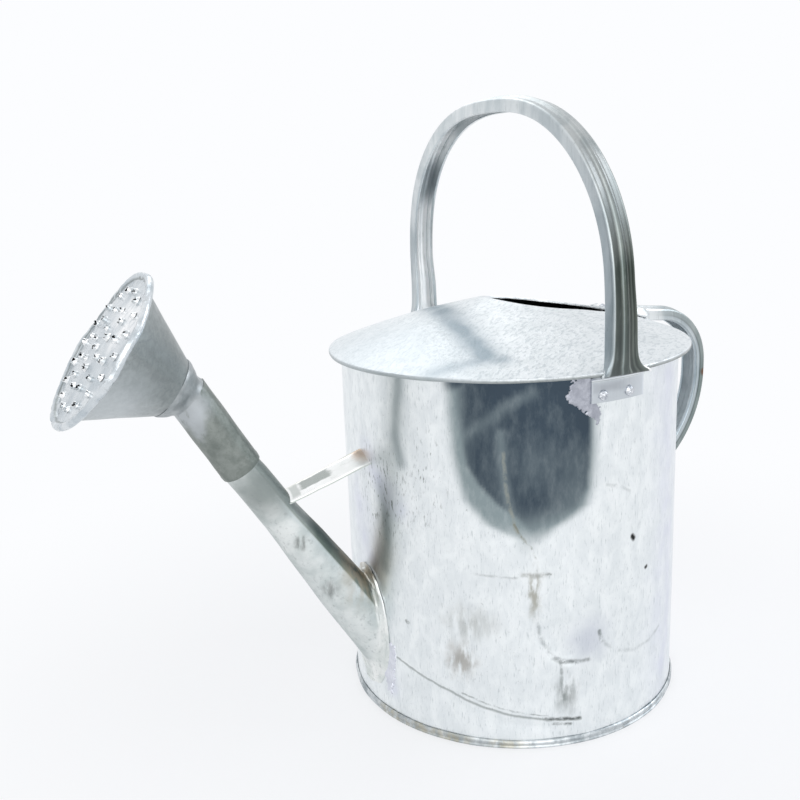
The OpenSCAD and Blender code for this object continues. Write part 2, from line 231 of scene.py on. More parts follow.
lightSet = {"world": 0.62, "seen": 1.0, "floor": "#F6F7F9", "glow": "#FCFDFF", "clear": (0.16, 0.6), "near": 0.7,
            "aim": (0, 0, 0.18), "floorSize": 24,
            "lamps": [((-1.5, -1.2, 1.5), 1.8, 5.5, "#FFFFFF"), ((1.5, -0.7, 1.3), 1.3, 10, "#F4F8FF"),
                      ((0.2, 1.4, 1.8), 1.6, 6, "#FFFFFF"), ((-0.5, -2.1, 0.7), 2.2, 15, "#FFFFFF")]}


def seenRay(tree, *kinds):
    light = addNode(tree, "ShaderNodeLightPath")
    seen = light.outputs["Is Camera Ray"]
    for kind in kinds:
        seen = addMath(tree, "MAXIMUM", seen, light.outputs[kind])
    return seen


def lightStage():
    deselect()
    bpy.ops.mesh.primitive_grid_add(x_subdivisions=24, y_subdivisions=24, size=lightSet["floorSize"])
    floor = bpy.context.object
    floor.name = floor.data.name = "floor"
    material = bpy.data.materials.new("paperSweep")  # matt white paper
    material.use_nodes = True
    tree = material.node_tree
    tree.nodes.clear()
    paper = addNode(tree, "ShaderNodeBsdfDiffuse", links={"Color": hexColour(lightSet["floor"])})
    glow = addNode(tree, "ShaderNodeEmission", links={"Color": hexColour(lightSet["glow"]), "Strength": 1.0})
    spot = addNode(tree, "ShaderNodeTexCoord")
    reach = addNode(tree, "ShaderNodeVectorMath", {"operation": "LENGTH"}, {0: spot.outputs["Object"]})
    clear = addNode(tree, "ShaderNodeMapRange", {"interpolation_type": "SMOOTHSTEP"},
                    {"Value": reach.outputs["Value"], "From Min": lightSet["clear"][0],
                     "From Max": lightSet["clear"][1], "To Min": lightSet["near"]})
    share = addMath(tree, "MULTIPLY", seenRay(tree, "Is Glossy Ray"), clear.outputs[0])
    mixed = addNode(tree, "ShaderNodeMixShader", links={0: share, 1: paper.outputs[0], 2: glow.outputs[0]})
    addNode(tree, "ShaderNodeOutputMaterial", links={"Surface": mixed.outputs[0]})
    floor.data.materials.append(material)

    world = bpy.data.worlds.new("studio")
    bpy.context.scene.world = world
    world.use_nodes = True
    tree = world.node_tree
    tree.nodes.clear()
    seen = seenRay(tree, "Is Glossy Ray", "Is Transmission Ray")
    strength = addNode(tree, "ShaderNodeMapRange",
                       links={"Value": seen, "To Min": lightSet["world"], "To Max": lightSet["seen"]})
    sky = addNode(tree, "ShaderNodeBackground",
                  links={"Color": hexColour(lightSet["glow"]), "Strength": strength.outputs[0]})
    addNode(tree, "ShaderNodeOutputWorld", links={"Surface": sky.outputs[0]})

    for i, (place, size, power, colour) in enumerate(lightSet["lamps"]):
        data = bpy.data.lights.new("softbox%d" % i, "AREA")
        data.size, data.energy, data.color = size, power, hexColour(colour)[:3]
        lamp = bpy.data.objects.new("softbox%d" % i, data)
        bpy.context.scene.collection.objects.link(lamp)
        lamp.location = place
        lamp.rotation_euler = (Vector(lightSet["aim"]) - Vector(place)).to_track_quat("-Z", "Y").to_euler()
    bpy.context.scene.view_settings.view_transform = "Standard"


placeCamera()
lightStage()
print("camera and light set")


def mixColour(tree, share, below, above, blend="MIX"):
    return addNode(tree, "ShaderNodeMix", {"data_type": "RGBA", "blend_type": blend},
                   {0: share, 6: below, 7: above}).outputs[2]


def fadeRange(tree, value, low, high, top=1.0):
    return addNode(tree, "ShaderNodeMapRange", {"interpolation_type": "SMOOTHSTEP"},
                   {"Value": value, "From Min": low, "From Max": high, "To Max": top}).outputs[0]


def grainAt(tree, coords, size, stretch=(1, 1, 1), detail=4.0, rough=0.55, warp=0.0):
    # noise whose cells are about size metres across
    scaled = addNode(tree, "ShaderNodeMapping", {"vector_type": "POINT"},
                     {"Vector": coords, "Scale": tuple(s / size for s in stretch)})
    return addNode(tree, "ShaderNodeTexNoise", None,
                   {"Vector": scaled.outputs[0], "Scale": 1.0, "Detail": detail,
                    "Roughness": rough, "Distortion": warp}).outputs[0]


def colourRamp(tree, value, stops):
    ramp = addNode(tree, "ShaderNodeValToRGB", None, {"Fac": value})
    bar = ramp.color_ramp.elements
    bar[0].position, bar[1].position = 0.0, 1.0
    bar[0].color, bar[1].color = hexColour(stops[0][1]), hexColour(stops[-1][1])
    for position, colour in stops[1:-1]:
        bar.new(position).color = hexColour(colour)
    return ramp.outputs["Color"]


def shiftBy(tree, coords, wave, wobble):  # pushes coordinates about by a noise
    wander = addNode(tree, "ShaderNodeTexNoise", None, {"Vector": coords, "Scale": 1 / wave, "Detail": 3.0})
    shift = addNode(tree, "ShaderNodeVectorMath", {"operation": "SUBTRACT"},
                    {0: wander.outputs["Color"], 1: (0.5, 0.5, 0.5)})
    return addNode(tree, "ShaderNodeVectorMath", {"operation": "MULTIPLY_ADD"},
                   {0: shift.outputs[0], 1: (wobble,) * 3, 2: coords}).outputs[0]


def stainOrLightMask(tree, coords, stainOrLight):
    # soft round or square patch with wandering edges, for real stains and for painted light and shade
    moved = shiftBy(tree, coords, stainOrLight.get("wave", 0.02), stainOrLight.get("wobble", 0.008))
    centred = addNode(tree, "ShaderNodeVectorMath", {"operation": "SUBTRACT"}, {0: moved, 1: stainOrLight["centre"]})
    turned = addNode(tree, "ShaderNodeVectorRotate", {"rotation_type": "EULER_XYZ"},
                     {"Vector": centred.outputs[0],
                      "Rotation": tuple(math.radians(a) for a in stainOrLight.get("turn", (0, 0, 0)))})
    sized = addNode(tree, "ShaderNodeVectorMath", {"operation": "DIVIDE"},
                    {0: turned.outputs[0], 1: stainOrLight["half"]})
    if stainOrLight.get("square"):
        folded = addNode(tree, "ShaderNodeVectorMath", {"operation": "ABSOLUTE"}, {0: sized.outputs[0]})
        split = addNode(tree, "ShaderNodeSeparateXYZ", None, {0: folded.outputs[0]})
        reach = addMath(tree, "MAXIMUM", split.outputs[0], split.outputs[1])
        reach = addMath(tree, "MAXIMUM", reach, split.outputs[2])
    else:
        reach = addNode(tree, "ShaderNodeVectorMath", {"operation": "LENGTH"}, {0: sized.outputs[0]})
        reach = reach.outputs["Value"]
    soft = stainOrLight.get("soft", 0.3)
    return fadeRange(tree, reach, 1 + soft, 1 - soft, stainOrLight["depth"])


def strokeMask(tree, spot, stroke):
    # drawn line: distance from a path of (x, y) points in mm, faded over its half width
    nearest = None
    for a, b in zip(stroke["path"], stroke["path"][1:]):
        run = Vector((b[0] - a[0], b[1] - a[1], 0))
        away = addNode(tree, "ShaderNodeVectorMath", {"operation": "SUBTRACT"}, {0: spot, 1: (a[0], a[1], 0)})
        along = addNode(tree, "ShaderNodeVectorMath", {"operation": "DOT_PRODUCT"},
                        {0: away.outputs[0], 1: run / run.length_squared})
        share = addMath(tree, "MULTIPLY", along.outputs["Value"], 1.0, True)
        foot = addNode(tree, "ShaderNodeVectorMath", {"operation": "SCALE"}, {0: run, "Scale": share})
        far = addNode(tree, "ShaderNodeVectorMath", {"operation": "DISTANCE"},
                      {0: away.outputs[0], 1: foot.outputs[0]}).outputs["Value"]
        nearest = far if nearest is None else addMath(tree, "MINIMUM", nearest, far)
    return fadeRange(tree, nearest, stroke["half"], stroke["half"] * stroke.get("core", 0.2), stroke["depth"])


# a patch for the finishes, for real stains and for painted light and shade
def stainOrLightAt(centre, half, colour, depth, **more):
    # more: soft, wobble and wave of the edge, turn, square, map (on the piece's UV map), broken and grain
    return dict(more, centre=centre, half=half, colour=colour, depth=depth)


def strokeOn(path, half, colour, depth, **more):    # more: core (full-strength share of the half width), broken
    return dict(more, path=path, half=half, colour=colour, depth=depth)


# what every zinc finish is mixed from; sizes in metres
zincSet = {"cloudRange": (0.34, 0.68), "dirtRange": (0.63, 0.78), "patch": 0.06, "patchRange": (0.45, 0.65),
           "ragged": 0.006, "raggedShare": (0.92, 1.2), "gap": 0.009, "gapRange": (0.36, 0.6),
           "strokeWave": 0.006, "strokeWobble": 0.0022, "bumpHeight": 0.0004}


def zincFinish(name, look, stainsAndLight=(), strokes=(), marks=(), across=None, along=None):
    # hot-dipped zinc on sheet steel: grey metal with fine drawn lines, pits and grime, with painted light and shade
    # laid on through the tones across, the vertex marks and some patches and strokes
    material = bpy.data.materials.new(name)
    material.use_nodes = True
    tree = material.node_tree
    shader = tree.nodes["Principled BSDF"]
    place = addNode(tree, "ShaderNodeTexCoord")
    solid, flat = place.outputs["Object"], place.outputs["UV"]
    grained = addNode(tree, "ShaderNodeVectorRotate", {"rotation_type": "Z_AXIS"},
                      {"Vector": solid, "Angle": math.radians(look.get("turn", 0))}).outputs[0]
    streaks = grainAt(tree, grained, look.get("streak", 0.0016), look.get("stretch", (1, 1, 0.05)), 5.0, 0.6)
    cloud = grainAt(tree, solid, look.get("cloud", 0.035), look.get("cloudStretch", (1, 1, 1)), 6.0, 0.62, 0.4)
    speck = grainAt(tree, solid, look.get("speck", 0.004), detail=3.0, rough=0.7)
    blend = fadeRange(tree, cloud, *zincSet["cloudRange"])
    colour = mixColour(tree, blend, hexColour(look["dull"]), hexColour(look["bright"]))
    if across:      # painted light and shade across the strip, and how strongly it shows along it
        split = addNode(tree, "ShaderNodeSeparateXYZ", None, {0: flat})
        tone = colourRamp(tree, split.outputs[0], across)
        share = 1.0
        if along:
            share = addMath(tree, "MULTIPLY", colourRamp(tree, split.outputs[1], along), share)
        colour = mixColour(tree, share, colour, tone, "MULTIPLY")
    lines = fadeRange(tree, streaks, *look.get("lineRange", (0.54, 0.74)), look.get("lineDepth", 0.5))
    colour = mixColour(tree, lines, colour, hexColour(look["line"]))
    dirt = fadeRange(tree, speck, *zincSet["dirtRange"], look.get("dirtDepth", 0.3))
    patchy = fadeRange(tree, grainAt(tree, solid, zincSet["patch"], detail=2.0), *zincSet["patchRange"])
    colour = mixColour(tree, addMath(tree, "MULTIPLY", dirt, patchy), colour, hexColour(look["dirt"]))
    # vertex marks: painted reflection and shade, and a lilac tint that is partly solder
    for channel, tint, depth in marks:
        paint = addNode(tree, "ShaderNodeAttribute", {"attribute_name": "marks"})
        split = addNode(tree, "ShaderNodeSeparateXYZ", None, {0: paint.outputs["Vector"]})
        ragged = grainAt(tree, solid, zincSet["ragged"], (1, 1, 0.4), 5.0, 0.65)
        ragged = addNode(tree, "ShaderNodeMapRange", None,
                         {"Value": ragged, "From Min": 0.3, "From Max": 0.7, "To Min": zincSet["raggedShare"][0],
                          "To Max": zincSet["raggedShare"][1]}).outputs[0]
        share = addMath(tree, "MULTIPLY", addMath(tree, "MULTIPLY", split.outputs[channel], ragged), depth, True)
        colour = mixColour(tree, share, colour, hexColour(tint))
    for stainOrLight in stainsAndLight:
        mask = stainOrLightMask(tree, flat if stainOrLight.get("map") else solid, stainOrLight)
        if stainOrLight.get("broken"):
            grain = grainAt(tree, solid, stainOrLight["broken"], (1, 1, 0.3))
            mask = addMath(tree, "MULTIPLY", mask, fadeRange(tree, grain, *stainOrLight.get("grain", (0.32, 0.6))))
        colour = mixColour(tree, mask, colour, hexColour(stainOrLight["colour"]))
    if strokes:
        wandering = shiftBy(tree, solid, zincSet["strokeWave"], zincSet["strokeWobble"])
        split = addNode(tree, "ShaderNodeSeparateXYZ", None, {0: wandering})
        turn = addMath(tree, "ARCTAN2", split.outputs[1], split.outputs[0])
        spot = addNode(tree, "ShaderNodeCombineXYZ", None,
                       {0: addMath(tree, "MULTIPLY", turn, wallR),
                        1: addMath(tree, "MULTIPLY", split.outputs[2], 1 / mm)})
        gaps = fadeRange(tree, grainAt(tree, solid, zincSet["gap"], detail=4.0, rough=0.7), *zincSet["gapRange"])
        for stroke in strokes:
            mask = strokeMask(tree, spot.outputs[0], stroke)
            if stroke.get("broken", True):
                mask = addMath(tree, "MULTIPLY", mask, gaps)
            colour = mixColour(tree, mask, colour, hexColour(stroke["colour"]))
    tree.links.new(colour, shader.inputs["Base Color"])
    shader.inputs["Metallic"].default_value = look.get("metal", 1.0)
    low, high = look.get("rough", (0.3, 0.46))
    roughness = addNode(tree, "ShaderNodeMapRange", None, {"Value": cloud, "To Min": high, "To Max": low})
    tree.links.new(roughness.outputs[0], shader.inputs["Roughness"])
    relief = addMath(tree, "ADD", streaks, speck)
    bump = addNode(tree, "ShaderNodeBump", None, {"Height": relief, "Strength": look.get("bump", 0.12),
                                                  "Distance": zincSet["bumpHeight"]})
    tree.links.new(bump.outputs[0], shader.inputs["Normal"])
    return material


insideLook = {"bright": "#4A4E50", "dull": "#2E3132", "line": "#26292A", "dirt": "#3A3630", "rough": (0.6, 0.75),
              "metal": 0.4}
insideZinc = zincFinish("shadedInsideZinc", insideLook)   # old water stains, little light


# body wall; its dents, stains, painted reflection and painted shade are placed by azimuth in degrees and height in mm
wallSet = {"radius": wallR, "low": 3.0, "high": 247.6, "sheet": 0.8, "around": 300, "up": 146,
           "front": (-190, -50), "frontShare": 0.55, "endFade": (14, 10), "sway": 0.45, "ripple": 0.10}
# a dent's path, the depth and half width of its groove, and how far one side sinks
wallDents = [
    {"path": [(-164.1, 48.2), (-154.2, 42.4), (-143.2, 36), (-133.3, 29), (-123.8, 24), (-112.8, 20), (-101, 17.6)],
     "groove": 1.0, "half": 1.8, "sink": 1.7, "spread": 16, "side": -1},
    {"path": [(-114.8, 88.3), (-113.9, 77.7), (-111.1, 66.7), (-107.3, 60.1), (-102, 59.0)],
     "groove": 1.0, "half": 2.2, "sink": 1.8, "spread": 18, "side": 1},
    {"path": [(-94.2, 76.8), (-91.9, 66.3), (-87.0, 59.1), (-79.1, 54.3), (-70.6, 54.7), (-64.2, 59.7)],
     "groove": 0.8, "half": 2.2, "sink": 1.2, "spread": 18, "side": 1},
    {"path": [(-107.6, 60), (-107.3, 44.4), (-106.3, 33.2)],
     "groove": 0.6, "half": 3, "sink": 0.2, "spread": 10, "side": 1},
    {"path": [(-125.5, 240), (-124.8, 191.7), (-123.8, 172.5), (-121.5, 152.9), (-117.7, 142.8)],
     "groove": 0.35, "half": 4, "sink": 0.3, "spread": 16, "side": 1},
    {"path": [(-92, 176), (-86, 172), (-83, 168)], "groove": 0.5, "half": 2, "sink": 0.3, "spread": 8, "side": 1},
]


def wallPath(path):
    return [(math.radians(a) * wallSet["radius"], z) for a, z in path]


def wallAzimuth(u):  # finer columns on the worn front
    (start, end), share = wallSet["front"], wallSet["frontShare"]
    if u < share:
        return start + (end - start) * u / share
    return end + (360 - end + start) * (u - share) / (1 - share)


def roundSpot(azimuth, radius, height):    # point in metres from azimuth in degrees and mm
    turn = math.radians(azimuth)
    return Vector((radius * math.cos(turn), radius * math.sin(turn), height)) * mm


dentPaths = [(wallPath(dent["path"]), dent) for dent in wallDents]


def wallRadius(azimuth, height):
    radius, turn = wallSet["radius"], math.radians(azimuth)
    fadeLow, fadeHigh = wallSet["endFade"]
    fade = min(1.0, (height - 3) / fadeLow) * min(1.0, (248 - height) / fadeHigh)
    for path, dent in dentPaths:
        d, share, side = distanceToPath(turn * wallSet["radius"], height, path)
        if d > 3 * dent["spread"]:
            continue
        ends = min(1.0, share / 0.12, (1 - share) / 0.12) if 0 < share < 1 else 0.0
        radius -= dent["groove"] * math.exp(-(d / dent["half"]) ** 2) * (0.25 + 0.75 * ends) * fade
        if side == dent["side"]:
            radius -= dent["sink"] * (1 - math.exp(-(d / 3) ** 2)) * math.exp(-(d / dent["spread"]) ** 2) * ends * fade
    sway = noise.noise(Vector((math.cos(turn) * 2.2, math.sin(turn) * 2.2, height / 70)))
    small = noise.noise(Vector((math.cos(turn) * 9, math.sin(turn) * 9, height / 15)))
    return radius + (wallSet["sway"] * sway + wallSet["ripple"] * small) * fade


def wallPoint(u, v):
    azimuth = wallAzimuth(u)
    if azimuth < -180:
        azimuth += 360
    height = wallSet["low"] + (wallSet["high"] - wallSet["low"]) * v
    return roundSpot(azimuth, wallRadius(azimuth, height), height)


# the front's painted dark reflection: left and right edges as (height, azimuth), and the left edge of the softer
# painted reflection round it
darkReflectionLeft = [(142, -116), (152.5, -117.5), (159.4, -120.5), (169.2, -126.4), (181.8, -132), (194.2, -135.6),
             (216.3, -137), (247, -137.4)]
darkReflectionRight = [(142, -116), (152.5, -111), (157.8, -106), (165.5, -100.8), (176, -98.9), (187.7, -98.3),
              (206.7, -97.9), (247, -98)]
softLeft = [(136, -120), (146.2, -121), (155.9, -129.8), (171.6, -136.6), (200.1, -140), (247, -141.5)]
# lighter lines through the painted dark reflection: down the crease, and a swirl near the top
reflectionBranch = [(-125.5, 214), (-124.8, 191.7), (-123.8, 172.5), (-121.5, 152.9)]
reflectionSwirl = [(-137, 212), (-130, 221), (-123, 232), (-116, 239)]
# greenish bands of painted reflection, and lilac washes, partly pale solder tint round the spout's root and partly
# painted lighter reflection towards the body's edges: a path and a half width in mm
bandPaths = [([(-157.8, 247), (-159.4, 226), (-160.4, 207), (-158.6, 190)], 4.2),
             ([(-168.6, 172), (-166.6, 152), (-166.2, 134), (-168.0, 112)], 5.2)]
lilacPaths = [([(-176, 190), (-167, 168), (-160, 158)], 9.0), ([(-176, 60), (-169, 40), (-166.5, 22)], 6.0),
              ([(-184, 150), (-177, 110), (-181, 80)], 16.0), ([(-62, 236), (-58, 130), (-60, 30)], 22.0)]
toneSet = {"perDegree": 2.056, "span": (-150, -90), "bottom": 130, "darkFrom": 141, "softFrom": 132, "softDepth": 1.1,
           "branch": (3.0, 0.45), "swirl": (4.5, 0.33), "underLid": 238, "underLidDepth": 0.85, "bandsEnd": -145,
           "bandDepth": 0.72}


def nearPath(x, height, path, half):    # 1 on the path, fading with distance
    return math.exp(-(distanceToPath(x, height, wallPath(path))[0] / half) ** 2)


def darkTone(azimuth, height, x):
    # how dark the front's painted reflection is, and how strong the softer painted reflection round it
    fromLeft = (azimuth - lerpTable(darkReflectionLeft, height)) * toneSet["perDegree"]
    fromRight = (lerpTable(darkReflectionRight, height) - azimuth) * toneSet["perDegree"]
    wisp = noise.noise(Vector((x / 16, height / 26, 7.7)))
    blur, low = 5 + 7 * ease((height - 200) / 40), ease((182 - height) / 25)
    dark = ease((fromLeft + blur / 2) / blur) * ease((fromRight + 3 + 4 * low) / (6 + 12 * low))
    high = 0.86 + 0.14 * ease((height - 190) / 50)
    dark *= ease((height - toneSet["darkFrom"]) / 30) * (0.98 + 0.14 * wisp) * high
    dark *= 1 - 0.34 * ease((204 - height) / 44) * ease((34 - fromRight) / 30)
    fromSoft = (azimuth - lerpTable(softLeft, height)) * toneSet["perDegree"]
    around = ease((fromSoft + 5) / 10) * ease((fromRight + 10) / 14)
    soft = toneSet["softDepth"] * around * ease((height - toneSet["softFrom"]) / 26)
    (branchHalf, branchDepth), (swirlHalf, swirlDepth) = toneSet["branch"], toneSet["swirl"]
    branch, swirl = nearPath(x, height, reflectionBranch, branchHalf), nearPath(x, height, reflectionSwirl, swirlHalf)
    dark *= 1 - branchDepth * branch - swirlDepth * swirl
    # painted shadow under the lid's rim
    if height > toneSet["underLid"]:
        shade = toneSet["underLidDepth"] * ease((height - toneSet["underLid"]) / 7)
        dark = max(dark, shade * ease((azimuth + 144) / 5) * ease((-96 - azimuth) / 4))
    return dark, soft


def wallTone(spot):    # shares of the front's painted dark reflection (with painted shadow under the lid's rim), of the greenish painted reflection, and of the lilac wash
    azimuth, height = math.degrees(math.atan2(spot.y, spot.x)), spot.z
    if azimuth > 150:
        azimuth -= 360
    x = math.radians(azimuth) * wallSet["radius"]
    dark = soft = lilac = 0.0
    if toneSet["span"][0] < azimuth < toneSet["span"][1] and height > toneSet["bottom"]:
        dark, soft = darkTone(azimuth, height, x)
    if azimuth < toneSet["bandsEnd"]:
        for path, half in bandPaths:
            soft = max(soft, toneSet["bandDepth"] * nearPath(x, height, path, half))
    for path, half in lilacPaths:
        near = nearPath(x, height, path, half)
        lilac = max(lilac, near * (0.8 + 0.6 * noise.noise(Vector((x / 12, height / 12, 1.1)))))
    return (max(0.0, dark), soft, max(0.0, lilac))


def onWall(azimuth, height, radius=wallR):
    turn = math.radians(azimuth)
    return (radius * math.cos(turn) * mm, radius * math.sin(turn) * mm, height * mm)


wallLook = {"bright": "#F1F5F6", "dull": "#E4E9EB", "line": "#AEB6B9", "dirt": "#8A8E8C", "cloud": 0.009,
            "cloudStretch": (1, 1, 0.5), "streak": 0.0009, "stretch": (1, 1, 0.16), "lineDepth": 0.6,
            "speck": 0.0028, "dirtDepth": 0.6, "rough": (0.3, 0.42), "bump": 0.2}
# painted reflection: greenish soft tone, lilac wash (partly solder tint) and the dark front, with its painted shadow
# under the lid
wallMarks = [(1, "#8D9A9D", 0.85), (2, "#D6D9E8", 0.5), (0, "#404C57", 0.95)]
wallStains = [
    stainOrLightAt(onWall(-139, 61), (0.008, 0.02, 0.011), "#7F7566", 0.6, turn=(0, 0, 49), soft=0.8, wobble=0.012,
            wave=0.008, broken=0.004),
    stainOrLightAt(onWall(-136, 88), (0.014, 0.02, 0.010), "#9A9D98", 0.5, turn=(0, 0, 46), soft=0.9, wobble=0.012,
            wave=0.01, broken=0.006),
    stainOrLightAt(onWall(-115.8, 110), (0.0034, 0.02, 0.014), "#87836F", 0.7, turn=(0, 0, 26), soft=0.7, wobble=0.008,
            wave=0.008, broken=0.003),
    stainOrLightAt(onWall(-106, 38), (0.006, 0.02, 0.012), "#7F8584", 0.7, turn=(0, 0, 16), soft=0.9, wobble=0.01,
            wave=0.01, broken=0.004),
    stainOrLightAt(onWall(-98, 74), (0.012, 0.02, 0.012), "#BFC4D0", 0.6, turn=(0, 0, 8), soft=0.9, wobble=0.012, wave=0.01),
    stainOrLightAt(onWall(-168, 165), (0.024, 0.03, 0.028), "#5E6260", 0.75, turn=(0, 0, 78), soft=0.8, wobble=0.014,
            wave=0.012, broken=0.0016, grain=(0.56, 0.66)),
    stainOrLightAt(onWall(-150, 182), (0.013, 0.03, 0.03), "#6A6D6A", 0.7, turn=(0, 0, 60), soft=0.8, wobble=0.014,
            wave=0.012, broken=0.0018, grain=(0.58, 0.68)),
]
wallStrokes = [    # painted shade along the dents' creases, a painted highlight down the crease inside the front's painted reflection, scratches and two nail holes, with half widths in mm
    strokeOn(wallDents[0]["path"], 1.7, "#767D7B", 0.62, core=0, broken=False),
    strokeOn([(-139, 36.8), (-131, 31.5), (-122, 26.8), (-112, 23)], 0.9, "#7B8280", 0.6),
    strokeOn([(-112.5, 20.2), (-107, 19.4), (-101.5, 18.0)], 2.4, "#4C5250", 0.85, core=0),
    strokeOn([(-110, 16.2), (-104.5, 14.6)], 1.8, "#535957", 0.8, core=0),
    strokeOn(wallDents[1]["path"], 2.4, "#80888A", 0.5, core=0),
    strokeOn([(-110, 63.5), (-107.3, 60.4), (-103.0, 59.4), (-98.5, 58.8)], 2.4, "#6A706F", 0.65, core=0),
    strokeOn(wallDents[3]["path"], 1.6, "#858C8B", 0.6),
    strokeOn(wallDents[2]["path"], 2.2, "#8C9495", 0.36, core=0),
    strokeOn([(-94.4, 77), (-93.6, 70)], 2.2, "#737A7A", 0.7),
    strokeOn([(-134, 122.3), (-127, 121.0), (-121, 120.6)], 1.5, "#7F8583", 0.38, core=0),
    strokeOn([(-119.5, 122.6), (-116.4, 121.6), (-111.8, 121.8)], 2.8, "#7C7D72", 0.5, core=0),
    strokeOn([(-111.6, 121.9), (-110.9, 122.0)], 2.0, "#4A4C48", 0.9, core=0),
    strokeOn([(-124.6, 202), (-124.2, 185), (-123.4, 170), (-121.3, 153), (-117.9, 142.5)], 1.8, "#9C9E94", 0.6),
    strokeOn([(-121.6, 156), (-119.5, 147.5), (-116.4, 140), (-115.4, 133)], 1.0, "#7D7D6E", 0.7),
    strokeOn([(-81.6, 136.4), (-80.9, 135.2)], 2.7, "#262828", 1, broken=False),
    strokeOn([(-74.4, 110.6), (-73.9, 110.8)], 1.9, "#2C2E2E", 1, broken=False),
    strokeOn(wallDents[5]["path"], 1.8, "#8D9494", 0.3, core=0),
    strokeOn([(-158.9, 79.2), (-158.4, 78.2)], 2.0, "#6F7472", 0.8),
]
wallZinc = zincFinish("galvanisedWallSheet", wallLook, wallStains,
                      [dict(stroke, path=wallPath(stroke["path"])) for stroke in wallStrokes], wallMarks)
bodyWall = shapeGrid("bodyWall", wallSet["around"], wallSet["up"], wallPoint)
paintMarks(bodyWall, wallTone)
thicken(bodyWall, wallSet["sheet"], wallZinc, insideZinc)
finishPiece(bodyWall, wallZinc, "can", "body_shell")


# foot rim and bottom, spun from one closed profile in mm
footSet = {"steps": 192, "wave": 0.0022, "lift": 0.0003, "rimFrom": 0.112, "dirty": (-168, -155, -143, -126)}
footProfile = [(0, 2.0), (60, 2.0), (64, 3.2), (100, 3.2), (104, 2.0), (114.6, 2.0), (115.6, 0.6), (116.4, 0.0),
               (118.2, 0.0), (119.0, 0.5), (119.25, 1.4), (118.6, 2.2), (118.6, 2.7), (119.3, 3.3), (119.45, 4.3),
               (119.0, 5.4), (118.2, 6.0), (117.9, 5.6), (117.7, 2.9), (104, 2.9), (100, 4.1), (64, 4.1), (60, 2.9),
               (0, 2.9)]
footRim = lathe("footRim", footProfile, footSet["steps"])
for vertex in footRim.data.vertices:
    if vertex.co.xy.length > footSet["rimFrom"]:
        turn = math.atan2(vertex.co.y, vertex.co.x)
        wave = noise.noise(Vector((math.cos(turn) * 6, math.sin(turn) * 6, vertex.co.z * 300)))
        vertex.co.xy *= 1 + footSet["wave"] * wave
        vertex.co.z = max(0.0, vertex.co.z + footSet["lift"] * wave * (1 if vertex.co.z > 0.001 else 0))
footLook = dict(wallLook, dirtDepth=0.9, dirt="#8F8263", bright="#D3D8DA", dull="#98A0A4", cloud=0.009)
footStains = [stainOrLightAt(onWall(azimuth, 3.5, 119), (0.012, 0.012, 0.004), "#B3AA8E", 0.55, soft=0.8, wobble=0.014,
                      wave=0.01, broken=0.004) for azimuth in footSet["dirty"]]
footZinc = zincFinish("foldedFootZinc", footLook, footStains)   # the folded edge holds old dirt
finishPiece(footRim, footZinc, "can", "base_pan")


# domed lid with an oval mouth towards the back and a rolled rim
lidSet = {"radius": 125.3, "edge": 250.0, "rise": 33.5, "bulge": 3.2, "mouthX": 35.5, "mouthHalf": 8.5,
          "mouthR": 41.0, "sheet": 0.8, "around": 300, "out": 96, "lipDrops": (0.5, 1.6), "lipIn": 0.3,
          "ripple": 0.6, "grain": 0.16, "rimFade": 12, "rimWave": 0.3, "shadeFrom": 0.5, "deepShadeFrom": 1.9}
lidFold = [(0.45, -0.25), (0.7, -0.9), (0.7, -2.1), (0.35, -2.75), (-1.5, -3.0), (-7.0, -2.9)]
lipRows = len(lidSet["lipDrops"])
# the bow's shade on the lid: a broad arm and a fainter one
shadeArm = [(-34, 46), (-38.7, 37.4), (-46, 12), (-53.8, -20.8), (-61.7, -52.5), (-66, -78)]
shadeSide = [(-98, -70), (-84, -75), (-70, -79), (-60, -86)]


def lidHeight(r):
    share = r / lidSet["radius"]
    return lidSet["edge"] + lidSet["rise"] * (1 - share) + 4 * lidSet["bulge"] * share * (1 - share)


def mouthEdge(turn, grow=0.0):
    along, across = math.cos(turn), math.sin(turn)
    reach = lidSet["mouthR"] + grow
    if abs(across) > 1e-9 and abs(along / across) * reach <= lidSet["mouthHalf"]:
        far = reach / abs(across)
    else:
        shift = lidSet["mouthHalf"] * (1 if along > 0 else -1)
        b = along * shift
        far = b + math.sqrt(max(0.0, b * b - shift * shift + reach * reach))
    return Vector((lidSet["mouthX"] + along * far, across * far))


def lidPoint(u, v):
    turn, rows = 2 * math.pi * u, lidSet["out"]
    row = v * (rows + lipRows + len(lidFold)) - lipRows    # rows below 0 turn down at the mouth
    inner, along = mouthEdge(turn), Vector((math.cos(turn), math.sin(turn)))
    b = along.x * lidSet["mouthX"]
    far = -b + math.sqrt(b * b - lidSet["mouthX"] ** 2 + lidSet["radius"] ** 2)
    outer = Vector((lidSet["mouthX"] + along.x * far, along.y * far))
    if row < -0.5:
        drop = lidSet["lipDrops"][0 if row > -1.5 else 1]
        lip = mouthEdge(turn, -lidSet["lipIn"])
        return Vector((lip.x, lip.y, lidHeight(inner.length) - drop)) * mm
    if row <= rows + 0.5:
        spot = inner.lerp(outer, row / rows)
        fade = max(0.0, min(1.0, (lidSet["radius"] - spot.length) / lidSet["rimFade"])) * ease(row / 6)
        ripple = lidSet["ripple"] * noise.noise(Vector((spot.x / 34, spot.y / 34, 3.1)))
        ripple += lidSet["grain"] * noise.noise(Vector(((spot.x + spot.y) / 3.4, (spot.x - spot.y) / 6.5, 0.7)))
        return Vector((spot.x, spot.y, lidHeight(spot.length) + ripple * fade)) * mm
    out, drop = lidFold[int(round(row - rows)) - 1]
    rim = outer.normalized() * (lidSet["radius"] + out)
    wave = noise.noise(Vector((rim.x / 25, rim.y / 25, 0.4))) * lidSet["rimWave"]
    return Vector((rim.x, rim.y, lidSet["edge"] + drop + wave)) * mm


